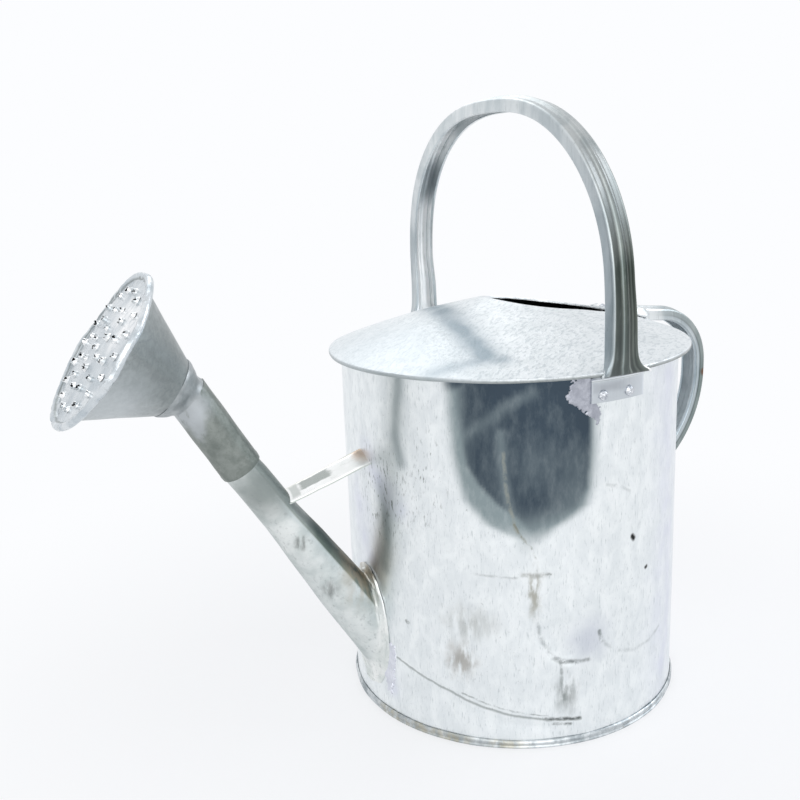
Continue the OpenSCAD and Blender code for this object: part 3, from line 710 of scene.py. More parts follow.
def lidTone(spot):    # the bow's painted shade, and painted shade under the rim
    arm = distanceToPath(spot.x, spot.y, shadeArm)[0]
    side = distanceToPath(spot.x, spot.y, shadeSide)[0]
    wander = 1 + 0.5 * noise.noise(Vector((spot.x / 14, spot.y / 14, 5.0)))
    shade = max(math.exp(-(arm / 8.5) ** 2), 0.75 * math.exp(-(side / 6) ** 2)) * wander
    below = lidSet["edge"] - spot.z
    return (shade, 1.0 if below > lidSet["deepShadeFrom"] else 0.5 if below > lidSet["shadeFrom"] else 0.0, 0.0)


lidLook = {"bright": "#E4E8EA", "dull": "#DADFE1", "line": "#A3AEB4", "dirt": "#A9AEAF", "cloud": 0.012,
           "streak": 0.0019, "stretch": (0.38, 1.0, 1), "turn": -25, "lineRange": (0.50, 0.60), "lineDepth": 0.36,
           "dirtDepth": 0.25, "bump": 1.0, "rough": (0.34, 0.42)}
lidStains = [stainOrLightAt((-0.1, -0.02, 0.25), (0.04, 0.075, 0.05), "#C3CCD1", 0.5, soft=0.6)]
# marks: the bow's painted shade on the lid, and painted shade under the rim
lidZinc = zincFinish("galvanisedLidSheet", lidLook, lidStains, marks=[(0, "#93A1AA", 0.95), (1, "#8B9190", 0.8)])
lid = shapeGrid("lidSheet", lidSet["around"], lidSet["out"] + lipRows + len(lidFold), lidPoint)
inEditMode(lid, (bpy.ops.mesh.flip_normals, {}))
paintMarks(lid, lidTone)
thicken(lid, lidSet["sheet"], lidZinc, insideZinc)
finishPiece(lid, lidZinc, "can", "top_cover", 50)
print("wall, foot and lid made")


# pressed strap: raised bead between two flats, deep side walls with a turned-in hem
strapSet = {"width": 17.0, "bead": 1.6, "corner": 1.6, "deep": 9.0, "hem": 2.4, "sheet": 1.0, "flat": 41.0,
            "columns": 60, "webShare": 0.49, "webSpread": 0.93}
strapHalf = strapSet["width"] / 2
hemAt = strapHalf - strapSet["hem"]
strapFold = [(0, strapSet["bead"]), (0.9, 1.45), (1.7, 1.0), (2.3, 0.4), (3.0, 0.05), (3.9, 0),
             (strapHalf - strapSet["corner"], 0), (strapHalf - 0.47, -0.47), (strapHalf, -strapSet["corner"]),
             (strapHalf, -7.9), (strapHalf - 0.3, -8.7), (strapHalf - 0.9, -strapSet["deep"]), (hemAt, -8.9),
             (hemAt, -8.0)]
strapFold = [Vector((x, y, 0)) for x, y in strapFold]


def strapSection(share, flatten):
    # share 0..1 across the strip; returns (across, out) with out = 0 on the web's outer face
    side, t = (-1 if share < 0.5 else 1), abs(share - 0.5) * 2
    spot = runAlong(strapFold, t)
    web, fan = strapSet["webShare"], strapSet["webSpread"]      # the flats fan out into the plate
    spread = t / web * fan if t < web else fan + (t - web) / (1 - web) * (1 - fan)
    mixed = spot.lerp(Vector((spread * strapSet["flat"] / 2, 0, 0)), flatten)
    mixed.y = spot.y * (1 - flatten) ** (0.6 if spot.y > 0 else 1.6)
    return side * mixed.x, mixed.y


def turnedOut(line, v, normal):
    before, after = runAlong(line, max(0, v - 0.008)), runAlong(line, min(1, v + 0.008))
    return normal.cross(after - before).normalized()


def sweepStrap(name, path, flatten, sideAxis, rows, widen=None):
    def place(u, v):
        across, out = strapSection(u, flatten(v))
        point, outward = path(v)
        across *= widen(v) if widen else 1
        return (point + sideAxis * across + outward * out) * mm
    return shapeGrid(name, strapSet["columns"], rows, place)


# bow handle over the lid: two riveted feet, straight legs and a round arch
bowSet = {"half": 126.9, "spring": 303.4, "radius": 110.0, "foot": 229.4, "crease": 247.0, "plateTop": 242.8,
          "plateOut": 118.8, "flare": 5.2, "flareShare": 0.8, "lean": 3.6, "leanFrom": 290, "leanOver": 124,
          "legTop": 305, "legWider": 0.12, "legShift": 1.2, "plateShift": 2.2, "sway": 0.35, "rows": 320, "easing": 60,
          "keepEnds": 14, "bendAt": 246.4}


def bowSide(side):
    run, out = bowSet["half"] - bowSet["radius"], bowSet["plateOut"]
    line = [Vector((0, out, bowSet["foot"])), Vector((0, out, bowSet["plateTop"])),
            Vector((0, bowSet["half"] - 0.8, bowSet["crease"] - 0.6)),
            Vector((0, bowSet["half"], bowSet["crease"] + 1.0))]
    line += [Vector((0, bowSet["half"], bowSet["crease"] + 2 + 2 * i)) for i in range(27)]
    for i in range(1, 61):
        turn = math.radians(i * 1.5)
        line.append(Vector((0, run + bowSet["radius"] * math.cos(turn),
                            bowSet["spring"] + bowSet["radius"] * math.sin(turn))))
    line += [Vector((0, run * (1 - i / 6), bowSet["spring"] + bowSet["radius"])) for i in range(1, 7)]
    return [Vector((p.x, side * p.y, p.z)) for p in line]


bowLine = bowSide(-1) + bowSide(1)[-2::-1]
for i in range(bowSet["easing"]):  # ease the crown into the shoulders and the arch into the legs
    last, kept = len(bowLine) - 1, bowSet["keepEnds"]
    bowLine = [p if min(j, last - j) < kept else (bowLine[j - 1] + p * 2 + bowLine[j + 1]) / 4
               for j, p in enumerate(bowLine)]


def bowShare(v):    # closer rows towards both feet
    return v - 0.1 * math.sin(2 * math.pi * v)


def bowPath(v):
    point, out = runAlong(bowLine, bowShare(v)), turnedOut(bowLine, bowShare(v), Vector((1, 0, 0)))
    if point.z < bowSet["crease"] + 5:
        out = Vector((0, math.copysign(1, point.y), 0))
    sway = bowSet["sway"] * noise.noise(Vector((v * 7, 1.3, 0)))
    sway -= bowSet["lean"] * ease((point.z - bowSet["leanFrom"]) / bowSet["leanOver"])
    legs = bowSet["legShift"] * ease((bowSet["legTop"] - point.z) / 30)
    sway += legs + bowSet["plateShift"] * ease((bowSet["crease"] + 5 - point.z) / 8)
    return point + Vector((sway, 0, 0)), out


def bowFlatten(v):
    above, share = runAlong(bowLine, bowShare(v)).z - bowSet["crease"], bowSet["flareShare"]
    return share * math.exp(-max(0.0, above) / bowSet["flare"]) + (1 - share) * ease(-above / 3)


def bowWiden(v):
    down = bowSet["legTop"] - runAlong(bowLine, bowShare(v)).z
    return 1 + bowSet["legWider"] * ease(down / 35) * (1 - bowFlatten(v))


strapLook = {"bright": "#E8ECED", "dull": "#C6CED1", "line": "#7E8786", "dirt": "#6B6D62", "streak": 0.0015,
             "stretch": (1, 1, 0.12), "lineDepth": 0.35, "dirtDepth": 0.5, "rough": (0.24, 0.38), "cloud": 0.022,
             "cloudStretch": (1, 1, 0.5)}
# painted tone across the strap (edge, wall, flat, bead, flat, wall, edge): dark flats as painted reflection, light
# bead lines and walls as painted highlights; and how strongly it shows from foot to foot
bowAcross = [(0.0, "#C4CACD"), (0.16, "#B6BDC2"), (0.27, "#A9B0B4"), (0.300, "#CDD1D1"), (0.318, "#5A605B"),
             (0.40, "#464C48"), (0.425, "#5C615B"), (0.447, "#A4AAA6"), (0.462, "#596059"), (0.52, "#525854"),
             (0.545, "#A3A89F"), (0.56, "#454A44"), (0.60, "#464B45"), (0.625, "#757A72"), (0.65, "#3D423C"),
             (0.70, "#70766C"), (0.86, "#A3A9AA"), (1.0, "#B0B5B6")]
bowAlong = [(0.0, "#101010"), (0.0985, "#101010"), (0.1015, "#F4F4F4"), (0.26, "#FFFFFF"), (0.372, "#C4C4C4"),
            (0.4385, "#8C8C8C"), (0.49, "#606060"), (0.56, "#404040"), (0.65, "#808080"), (0.72, "#C0C0C0"),
            (0.886, "#B0B0B0"), (1.0, "#202020")]
plateStain = {"soft": 0.15, "square": True, "wobble": 0.004, "wave": 0.05, "map": True}
strapStains = [    # along the near foot: plate, ledge, the two seams, the plate's pale end and its dull middle
    stainOrLightAt((0.5, 0.030, 0), (0.7, 0.034, 1), "#BCC2C9", 0.7, **plateStain),
    stainOrLightAt((0.5, 0.081, 0), (0.7, 0.014, 1), "#E4E8EC", 0.7, **plateStain),
    stainOrLightAt((0.5, 0.0995, 0), (0.7, 0.0014, 1), "#4A4C4A", 0.75, **plateStain),
    stainOrLightAt((0.5, 0.0665, 0), (0.7, 0.0012, 1), "#7F8488", 0.6, **plateStain),
    stainOrLightAt((0.98, 0.028, 0), (0.22, 0.04, 1), "#E2E7EE", 0.75, **dict(plateStain, soft=0.7)),
    stainOrLightAt((0.4, 0.045, 0), (0.16, 0.012, 1), "#8B8F96", 0.4, **dict(plateStain, soft=0.9)),
]
strapZinc = zincFinish("pressedStrapZinc", strapLook, strapStains, across=bowAcross, along=bowAlong)
# painted highlight: the inside of the channel painted near white where it catches light, with darker lines at the
# folds
insideAcross = [(0.0, "#D8DCDE"), (0.28, "#E2E6E8"), (0.30, "#A4AAAC"), (0.33, "#FFFFFF"), (0.66, "#FFFFFF"),
                (0.69, "#B4BABC"), (0.71, "#FFFFFF"), (1.0, "#FFFFFF")]
# painted shade part way down the inside of the far leg, and a lighter painted band above it
insideShadeSpread = {"soft": 0.6, "wobble": 0.02, "wave": 0.05, "map": True}
insideShades = [stainOrLightAt((0.5, 0.657, 0), (0.4, 0.026, 1), "#7E8A90", 0.75, **insideShadeSpread),
                stainOrLightAt((0.5, 0.575, 0), (0.4, 0.02, 1), "#B0B9BC", 0.5, **insideShadeSpread)]
insideStrap = dict(strapLook, bright="#FFFFFF", dull="#EFF2F3", cloud=0.014, metal=0.8, rough=(0.3, 0.42))
strapInside = zincFinish("brightStrapInside", insideStrap, insideShades, across=insideAcross)
bowHandle = sweepStrap("bowHandle", bowPath, bowFlatten, Vector((1, 0, 0)), bowSet["rows"], bowWiden)
for vertex in bowHandle.data.vertices:    # the plates lie on the round wall
    spot, lower = vertex.co / mm, ease((bowSet["bendAt"] - vertex.co.z / mm) / 3)
    wallOut = math.copysign(math.sqrt(bowSet["plateOut"] ** 2 - min(30, abs(spot.x)) ** 2), spot.y)
    vertex.co.y += (wallOut - spot.y) * lower * mm
thicken(bowHandle, strapSet["sheet"], strapZinc, strapInside)
finishPiece(bowHandle, strapZinc, "can", "bow_handle", 40)


# rear handle: a plate on the lid, a hop, a tight bend and a long sweep down to a plate on the wall
gripSet = {"cx": 135.98, "cz": 212.5, "radius": 45.4, "lowCx": 90.9, "lowZ": 206.0, "lowR": 90.5, "wall": 117.8,
           "plateOut": 118.8, "tail": 97.6, "rows": 230, "lidPlate": [(88, 0.9), (98, 1.3), (103, 1.2), (110, 1.3)],
           "hop": [(114, 258.4), (118, 260.6), (127, 259.2)], "flattenTo": 121}
gripWallZ = gripSet["lowZ"] - math.sqrt(gripSet["lowR"] ** 2 - (gripSet["wall"] - gripSet["lowCx"]) ** 2)
gripLine = [Vector((x, 0, lidHeight(x) + lift)) for x, lift in gripSet["lidPlate"]]
gripLine += [Vector((x, 0, z)) for x, z in gripSet["hop"]]
for i in range(25):
    turn = math.radians(5 + 85 * i / 24)
    gripLine.append(Vector((gripSet["cx"] + gripSet["radius"] * math.sin(turn), 0,
                            gripSet["cz"] + gripSet["radius"] * math.cos(turn))))
lowEnd = math.acos((gripSet["wall"] + 1.5 - gripSet["lowCx"]) / gripSet["lowR"])
for i in range(31):
    turn = lowEnd * i / 30
    gripLine.append(Vector((gripSet["lowCx"] + gripSet["lowR"] * math.cos(turn), 0,
                            gripSet["lowZ"] - gripSet["lowR"] * math.sin(turn))))
gripLine += [Vector((gripSet["plateOut"] + 0.1, 0, gripWallZ - 2.5)), Vector((gripSet["plateOut"], 0, gripWallZ - 6)),
             Vector((gripSet["plateOut"], 0, gripSet["tail"]))]


def gripPath(v):
    point, out = runAlong(gripLine, v), turnedOut(gripLine, v, Vector((0, -1, 0)))
    if v > 0.8 and point.z < gripWallZ + 4:
        out = Vector((1, 0, 0))
    return point, out


def gripFlatten(v):
    point = runAlong(gripLine, v)
    if v < 0.5:
        return ease((gripSet["flattenTo"] - point.x) / 10)
    return ease((gripWallZ + 9 - point.z) / 12) if point.x < 135 else 0.0


# painted tone across the rear strap: dark flats and lines as painted reflection, light edges and walls as painted
# highlights; and how strongly it shows from the lid plate to the wall plate
gripAcross = [(0.0, "#E4E9EE"), (0.07, "#D9DFE5"), (0.09, "#9BA3A6"), (0.11, "#E4E9EC"), (0.15, "#C9D0D4"),
              (0.17, "#5F6867"), (0.20, "#9AA4A1"), (0.28, "#8D9794"), (0.31, "#7C8486"), (0.35, "#C3CACD"),
              (0.44, "#8B9290"), (0.50, "#B4BCBA"), (0.58, "#8B9592"), (0.66, "#7C8583"), (0.72, "#8D9794"),
              (0.80, "#9AA4A1"), (0.83, "#5F6867"), (0.85, "#C9D0D4"), (0.89, "#E4E9EC"), (0.91, "#9BA3A6"),
              (0.93, "#D9DFE5"), (1.0, "#E4E9EE")]
gripAlong = [(0.0, "#303030"), (0.16, "#404040"), (0.24, "#C0C0C0"), (0.5, "#FFFFFF"), (0.9, "#E0E0E0"),
             (1.0, "#404040")]
gripStains = [stainOrLightAt((0.181, -0.008, 0.203), (0.003, 0.004, 0.003), "#6E4A33", 0.9, soft=0.5, wobble=0.002,
                      wave=0.004)]    # one spot of rust
gripZinc = zincFinish("pressedGripZinc", dict(strapLook, dirtDepth=0.3), gripStains, across=gripAcross,
                      along=gripAlong)
rearHandle = sweepStrap("rearHandle", gripPath, gripFlatten, Vector((0, 1, 0)), gripSet["rows"])
for vertex in rearHandle.data.vertices:
    spot = vertex.co / mm
    if spot.z < gripWallZ + 1 and spot.x < 122.5:      # the lower plate follows the round wall
        vertex.co.x = math.sqrt(gripSet["plateOut"] ** 2 - spot.y ** 2) * mm
    elif spot.z > 250 and spot.x < 104:                # the upper plate lies on the lid
        vertex.co.z = max(spot.z, lidHeight(spot.xy.length) + 0.9) * mm
        if spot.x < 91:                                # rounded corners
            vertex.co.x += 0.007 * max(0.0, abs(spot.y) / 20 - 0.55) ** 2 * 5
inEditMode(rearHandle, (bpy.ops.mesh.flip_normals, {}))
insideGrip = dict(strapLook, bright="#D9DEE1", dull="#B9C1C5", metal=0.55, rough=(0.3, 0.42))
thicken(rearHandle, strapSet["sheet"], gripZinc, zincFinish("dullGripInside", insideGrip))
finishPiece(rearHandle, gripZinc, "can", "rear_handle", 40)
print("handles made")


# spout, laid out from the shoulder at its tip: reach grows down the spout into the body, and the slim tip goes the
# other way
spoutSet = {"start": (-201.2, 0, 191.7), "tilt": 57.0, "kick": 3.0, "tipR": 12.0, "tipIn": 38.0, "tipRows": 6,
            "sheet": 0.9, "around": 96, "rows": 70, "first": 1.4, "rootOut": 3.4, "lap": 0.45,
            "lapTurns": (2.95, 4.22), "dent": 0.3,
            "flange": [(0.5, 2.9), (1.1, 2.0), (1.7, 2.2), (2.3, 1.3), (2.9, 1.0), (3.5, 1.5), (4.2, 0.9), (4.6, 0.1)]}
spoutWidth = [(1.4, 12.35), (44.4, 12.5), (58, 13.4), (73.5, 14.6), (95, 15.9), (117.9, 17.1), (153.1, 18.3),
              (198, 19.7)]


def tiltedAxes(tilt):    # the way a tilted axis runs in the can's middle plane, and the way square to it
    turn = math.radians(tilt)
    return Vector((math.sin(turn), 0, math.cos(turn))), Vector((math.cos(turn), 0, -math.sin(turn)))


spoutDown, spoutSide = tiltedAxes(90 + spoutSet["tilt"])
tipDown, tipSide = tiltedAxes(90 + spoutSet["tilt"] + spoutSet["kick"])
spoutStart = Vector(spoutSet["start"])


def spoutSpot(turn, radius, reach):
    return spoutStart + spoutDown * reach + (spoutSide * math.cos(turn) + Vector((0, math.sin(turn), 0))) * radius


def tipSpot(turn, radius, reach):
    return spoutStart + tipDown * reach + (tipSide * math.cos(turn) + Vector((0, math.sin(turn), 0))) * radius


def spoutLanding(turn, grow, wall):  # where a line down the spout meets the round wall
    near, far = 60.0, 190.0
    for i in range(30):
        reach = (near + far) / 2
        spot = spoutSpot(turn, lerpTable(spoutWidth, reach) + grow, reach)
        near, far = (reach, far) if spot.xy.length > wall else (near, reach)
    return reach


def spoutPoint(u, v):
    turn = 2 * math.pi * u
    rows, flange, tipRows = spoutSet["rows"], spoutSet["flange"], spoutSet["tipRows"]
    row = v * (rows + len(flange) + tipRows) - tipRows
    if row < -0.5:
        return tipSpot(turn, spoutSet["tipR"], -spoutSet["tipIn"] * -row / tipRows) * mm
    if row < rows + 0.5:
        root = spoutLanding(turn, 0, wallSet["radius"] + spoutSet["rootOut"])
        reach = spoutSet["first"] + (root - spoutSet["first"]) * max(0.0, row / rows) ** 0.9
        dent = noise.noise(Vector((math.cos(turn) * 1.2, math.sin(turn) * 1.2, reach / 28)))
        # long lap seam along the top, with a small step at its edge
        lapStart, lapEnd = spoutSet["lapTurns"]
        lap = spoutSet["lap"] * ease((turn - lapStart) / 0.03) * ease((lapEnd - turn) / 0.05)
        fade = ease(reach / 12)
        return spoutSpot(turn, lerpTable(spoutWidth, reach) + (spoutSet["dent"] * dent + lap) * fade, reach) * mm
    grow, lift = flange[int(round(row - rows)) - 1]
    wave = 1 + 0.5 * noise.noise(Vector((math.cos(turn) * 4, math.sin(turn) * 4, grow)))
    grow = grow * (1.25 if grow > 2 else 1) * (0.85 + 0.3 * wave)
    reach = spoutLanding(turn, grow, wallSet["radius"] + lift * wave)
    return spoutSpot(turn, lerpTable(spoutWidth, reach) + grow, reach) * mm


spoutLook = {"bright": "#F0F2F0", "dull": "#D3D9D7", "line": "#858D8E", "dirt": "#6F6E63", "streak": 0.002,
             "cloud": 0.02, "stretch": (0.5, 1, 0.5), "lineDepth": 0.4, "dirtDepth": 0.6, "rough": (0.34, 0.48),
             "bump": 0.2}
# painted light and shade round the spout: a dark top up to the lap seam, a lighter lit side below it; faded out at the
# root
spoutAcross = [(0.0, "#CFD4D6"), (0.12, "#CDD2D4"), (0.42, "#C2C8CA"), (0.46, "#8A8478"), (0.50, "#7C6F5B"),
               (0.54, "#646860"), (0.60, "#6F7A78"), (0.668, "#7E8882"), (0.678, "#E6EAEC"), (0.80, "#F4F6F7"),
               (0.92, "#E6E9EA"), (1.0, "#CFD4D6")]
spoutAlong = [(0.0, "#D0D0D0"), (0.38, "#D8D8D8"), (0.46, "#FFFFFF"), (0.88, "#FFFFFF"), (0.93, "#303030"),
              (1.0, "#101010")]
spoutStains = [    # two knocks, brown water stains at the root and a dull patch by the sleeve
    stainOrLightAt(tuple(spoutSpot(4.9, 14, 62) * mm), (0.0035, 0.01, 0.0045), "#6E716F", 0.75, soft=0.7, wobble=0.006,
            wave=0.006, broken=0.004),
    stainOrLightAt(tuple(spoutSpot(5.2, 16, 104) * mm), (0.005, 0.01, 0.006), "#7B7E7D", 0.7, soft=0.7, wobble=0.006,
            wave=0.006, broken=0.004),
    stainOrLightAt(tuple(spoutSpot(3.3, 17, 108) * mm), (0.014, 0.02, 0.026), "#B3A58F", 0.7, soft=0.7, wobble=0.01,
            wave=0.01, broken=0.005),
    stainOrLightAt(tuple(spoutSpot(4.5, 12, 16) * mm), (0.017, 0.02, 0.019), "#878F8D", 0.85, soft=0.7, wobble=0.01,
            wave=0.01),
]
spoutZinc = zincFinish("rolledSpoutZinc", spoutLook, spoutStains, across=spoutAcross, along=spoutAlong)
spoutRows = spoutSet["rows"] + len(spoutSet["flange"]) + spoutSet["tipRows"]
spout = shapeGrid("spout", spoutSet["around"], spoutRows, spoutPoint)
thicken(spout, spoutSet["sheet"], spoutZinc, insideZinc)
finishPiece(spout, spoutZinc, "can", "spout", 30)


# folded brace: a shallow ridged strip between the wall and the spout
braceSet = {"start": (-113.8, 0, 184), "tilt": 18.0, "ridge": 7.0, "wide": 15.0, "narrow": 8.5, "sheet": 1.0,
            "from": -187.2, "over": 75.4, "curl": 0.5, "wave": 0.4, "across": 28, "rows": 60}
braceAlong, braceUp = tiltedAxes(-90 - braceSet["tilt"])


def braceSpot(u, reach):
    share = abs(2 * u - 1)
    point = Vector(braceSet["start"]) + braceAlong * reach
    width = lerpTable([(0, braceSet["narrow"]), (braceSet["over"], braceSet["wide"])], point.x - braceSet["from"])
    ridge = (1 - math.sqrt(share * share + 0.004) * 0.998) * braceSet["ridge"]
    curl = braceSet["curl"] * ease((share - 0.9) / 0.1)
    return point + Vector((0, (2 * u - 1) * width, 0)) + braceUp * (ridge + curl)


def bracePoint(u, v):
    near, far = -4.0, 12.0     # the wall end
    for i in range(24):
        start = (near + far) / 2
        outside = braceSpot(u, start).xy.length > wallSet["radius"] + 0.1
        near, far = (near, start) if outside else (start, far)
    near, far = 30.0, 95.0     # the spout end
    for i in range(24):
        end = (near + far) / 2
        away = braceSpot(u, end) - spoutStart
        reach = away.dot(spoutDown)
        touches = (away - spoutDown * reach).length < lerpTable(spoutWidth, reach) + 0.3
        near, far = (near, end) if touches else (end, far)
    spot = braceSpot(u, start + (end - start) * v)
    return (spot + braceUp * braceSet["wave"] * noise.noise(spot / 12)) * mm


braceLook = {"bright": "#FFFFFF", "dull": "#F0F2F0", "line": "#B5B6AE", "dirt": "#9C917C", "streak": 0.002,
             "stretch": (0.2, 1, 1), "lineDepth": 0.3, "dirtDepth": 0.4, "rough": (0.22, 0.34)}
braceStains = [    # a dull patch, a dull end and rust where it meets the wall
    stainOrLightAt((0.34, 0.66, 0), (0.12, 0.19, 1), "#8E9792", 0.75, soft=0.2, square=True, wobble=0.10, wave=0.12,
            map=True),
    stainOrLightAt((0.3, 0.92, 0), (0.2, 0.05, 1), "#B9BFBB", 0.7, soft=0.3, square=True, wobble=0.04, wave=0.2, map=True),
    stainOrLightAt((0.45, 0.02, 0), (0.3, 0.10, 1), "#B98F63", 0.6, soft=0.7, wobble=0.1, wave=0.1, map=True),
]
# painted light and shade across the ridge: the near side painted white as lit, the far side greyer
braceAcross = [(0.0, "#E0E4E0"), (0.05, "#FFFFFF"), (0.47, "#FFFFFF"), (0.5, "#E6E4D8"), (0.56, "#C6C9BF"),
               (1.0, "#D9DCD6")]
braceZinc = zincFinish("foldedBraceZinc", braceLook, braceStains, across=braceAcross)
brace = shapeGrid("braceStrip", braceSet["across"], braceSet["rows"], bracePoint)
thicken(brace, braceSet["sheet"], braceZinc)
finishPiece(brace, braceZinc, "can", "spout_brace", 25)
print("spout and brace made")


# rose: socket, soldered collar, cone and punched face, all drawn from the elbow between them
roseSet = {"elbow": (-230.45, 0, 242.36), "tilt": 36.4, "joint": 44.63, "inner": 12.05, "outer": 13.3,
           "collarR": 19.5, "collarSheet": 1.2, "coneStart": 12.6, "around": 72, "coneAround": 112}
roseElbow = Vector(roseSet["elbow"])
roseOut, roseSide = tiltedAxes(roseSet["tilt"] - 90)
jointOut = tiltedAxes(-roseSet["joint"])[0]      # square to the mitred joint of socket and collar


def roseSpot(turn, radius, reach):
    return roseElbow + roseOut * reach + (roseSide * math.cos(turn) + Vector((0, math.sin(turn), 0))) * radius


sleeveSet = {"lap": 0.5, "lapTurns": (3.0, 4.0), "dent": 0.22, "lip": 0.35, "lipAt": 0.03, "rows": 24, "insideRows": 6}


def sleevePoint(turn, step):
    radius, share = step
    start = tipSpot(turn, radius, 0)
    length = (roseElbow - start).dot(jointOut) / (-tipDown).dot(jointOut)
    if radius > roseSet["inner"] + 0.1:
        lapStart, lapEnd = sleeveSet["lapTurns"]
        lap = sleeveSet["lap"] * ease((turn - lapStart) / 0.04) * ease((lapEnd - turn) / 0.08)
        radius += sleeveSet["dent"] * noise.noise(Vector((math.cos(turn) * 2, math.sin(turn) * 2, share * 4))) + lap
        radius += sleeveSet["lip"] * math.exp(-((share - sleeveSet["lipAt"]) / 0.02) ** 2)
    return tipSpot(turn, radius, -length * share)


sleeveLoop = [(roseSet["outer"], i / sleeveSet["rows"]) for i in range(sleeveSet["rows"] + 1)]
sleeveLoop += [(roseSet["inner"], 1 - i / sleeveSet["insideRows"]) for i in range(sleeveSet["insideRows"] + 1)]
sleeveLook = {"bright": "#8F9591", "dull": "#79807C", "line": "#6A716B", "dirt": "#5A5C54", "streak": 0.0016,
              "cloud": 0.008, "stretch": (1, 1, 1), "lineDepth": 0.45, "dirtDepth": 0.6, "rough": (0.36, 0.5)}
smear = {"soft": 0.6, "wobble": 0.012, "wave": 0.008, "broken": 0.004, "grain": (0.25, 0.45)}   # old solder
sleeveStains = [stainOrLightAt(tuple((roseElbow + Vector(off)) * mm), half, "#BEC3C7", depth, **smear)
                for off, half, depth in (((-8, -9, -6), (0.016, 0.016, 0.013), 0.8),
                                         ((2, -10, -14), (0.005, 0.012, 0.012), 0.6))]
sleeveZinc = zincFinish("dullSocketZinc", sleeveLook, sleeveStains)
sleeve = shapeRing("roseSocket", roseSet["around"], sleeveLoop, sleevePoint)
finishPiece(sleeve, sleeveZinc, "rose", "rose_sleeve")


def collarPoint(turn, step):
    layer, share = step      # layer 1 is the outside, -1 the inside
    low = roseSpot(turn, roseSet["outer"] if layer > 0 else roseSet["inner"], 0)
    drop = (roseElbow - low).dot(jointOut) / roseOut.dot(jointOut)
    reach = drop + (roseSet["coneStart"] - drop) * share
    narrow, wide = roseSet["outer"], roseSet["collarR"]
    if layer < 0:
        narrow, wide = roseSet["inner"], roseSet["collarR"] - roseSet["collarSheet"]
    width = narrow + (wide - narrow) * ease(max(0.0, reach) / roseSet["coneStart"])
    if layer > 0:
        lump = noise.noise(Vector((math.cos(turn) * 3.1, math.sin(turn) * 3.1, share * 3)))
        width += 0.3 + 0.7 * max(-0.3, lump) * math.sin(math.pi * share)
    return roseSpot(turn, width, reach)


collarLoop = [(1, i / 12) for i in range(13)] + [(-1, 1 - i / 4) for i in range(5)]
solderLook = {"bright": "#B3B8BA", "dull": "#9AA0A2", "line": "#8A9098", "dirt": "#747877", "streak": 0.002,
              "cloud": 0.008, "stretch": (1, 1, 0.6), "lineDepth": 0.35, "dirtDepth": 0.5, "rough": (0.3, 0.48),
              "bump": 0.5}
solderMetal = zincFinish("tinLeadSolder", solderLook)   # old soft solder, dulled grey
collar = shapeRing("solderCollar", roseSet["around"], collarLoop, collarPoint)
finishPiece(collar, solderMetal, "rose", "rose_collar")


coneSet = {"start": (19.5, 12.6), "grow": (26.0, 45.3), "rows": 20, "inside": (44.2, 58.0), "shrink": (25.8, 45.4),
           "insideRows": 8, "dent": 0.45, "lap": 0.45, "lapTurns": (4.1, 5.0)}


def conePoint(turn, step):
    radius, reach = step     # a radius below 0 is on the inside
    share = (reach - roseSet["coneStart"]) / 45
    dent = noise.noise(Vector((math.cos(turn) * 1.5, math.sin(turn) * 1.5, reach / 20)))
    lapStart, lapEnd = coneSet["lapTurns"]
    lap = coneSet["lap"] * ease((turn - lapStart) / 0.02) * ease((lapEnd - turn) / 0.05)
    proud = coneSet["dent"] * dent * math.sin(math.pi * max(0.0, min(1.0, share))) + lap * (share < 0.98)
    return roseSpot(turn, abs(radius) + proud * (1 if radius > 0 else 0), reach)


(startR, startZ), (growR, growZ), coneRows = coneSet["start"], coneSet["grow"], coneSet["rows"]
coneLoop = [(startR + growR * i / coneRows, startZ + growZ * i / coneRows) for i in range(coneRows + 1)]
coneLoop += [(47.4, 57.9), (47.6, 58.6), (-46.8, 58.8), (-44.4, 58.7)]
(startR, startZ), (growR, growZ), coneRows = coneSet["inside"], coneSet["shrink"], coneSet["insideRows"]
coneLoop += [(-(startR - growR * i / coneRows), startZ - growZ * i / coneRows) for i in range(coneRows + 1)]
coneLook = {"bright": "#B3B9BA", "dull": "#9FA5A6", "line": "#6E7573", "dirt": "#5F605B", "streak": 0.0016,
            "cloud": 0.0035, "stretch": (1, 1, 1), "lineDepth": 0.45, "dirtDepth": 0.6, "speck": 0.002,
            "rough": (0.34, 0.48)}
coneShade = {"soft": 0.8, "wobble": 0.012, "wave": 0.012}
# painted shade: a darker patch on one side of the cone and a painted lighter patch on the other
coneShading = [stainOrLightAt(tuple(roseSpot(5.1, 30, 30) * mm), (0.022, 0.03, 0.028), "#858B8B", 0.65, **coneShade),
              stainOrLightAt(tuple(roseSpot(4.0, 38, 44) * mm), (0.02, 0.03, 0.02), "#C9CFD2", 0.7, **coneShade)]
coneZinc = zincFinish("dullConeZinc", coneLook, coneShading)
cone = shapeRing("roseCone", roseSet["coneAround"], coneLoop, conePoint)
finishPiece(cone, coneZinc, "rose", "rose_cone")


# punched face, crimped over the cone; rings are (holes, ring number)
faceSet = {"holeR": 1.25, "rings": [(1, 0), (6, 1), (12, 2), (18, 3)], "spacing": 48 * 0.27, "ringTurn": 11,
           "steps": 176, "crimpFrom": 47, "grooveShadeBetween": (46.8, 47.9), "grooveShadeAbove": 59}
faceDome = [(0, 62.0), (9, 61.9), (18, 61.5), (27, 60.9), (36, 60.3), (43, 59.8)]
faceProfile = faceDome + [(46.4, 59.5), (47.3, 59.7), (48.2, 60.7), (49.4, 61.0), (50.9, 60.7), (51.8, 59.6),
                          (51.9, 58.0), (51.0, 56.7), (49.4, 56.5), (48.1, 56.9), (47.8, 58.2), (46.4, 58.7),
                          (36, 59.4), (18, 60.6), (0, 61.1)]


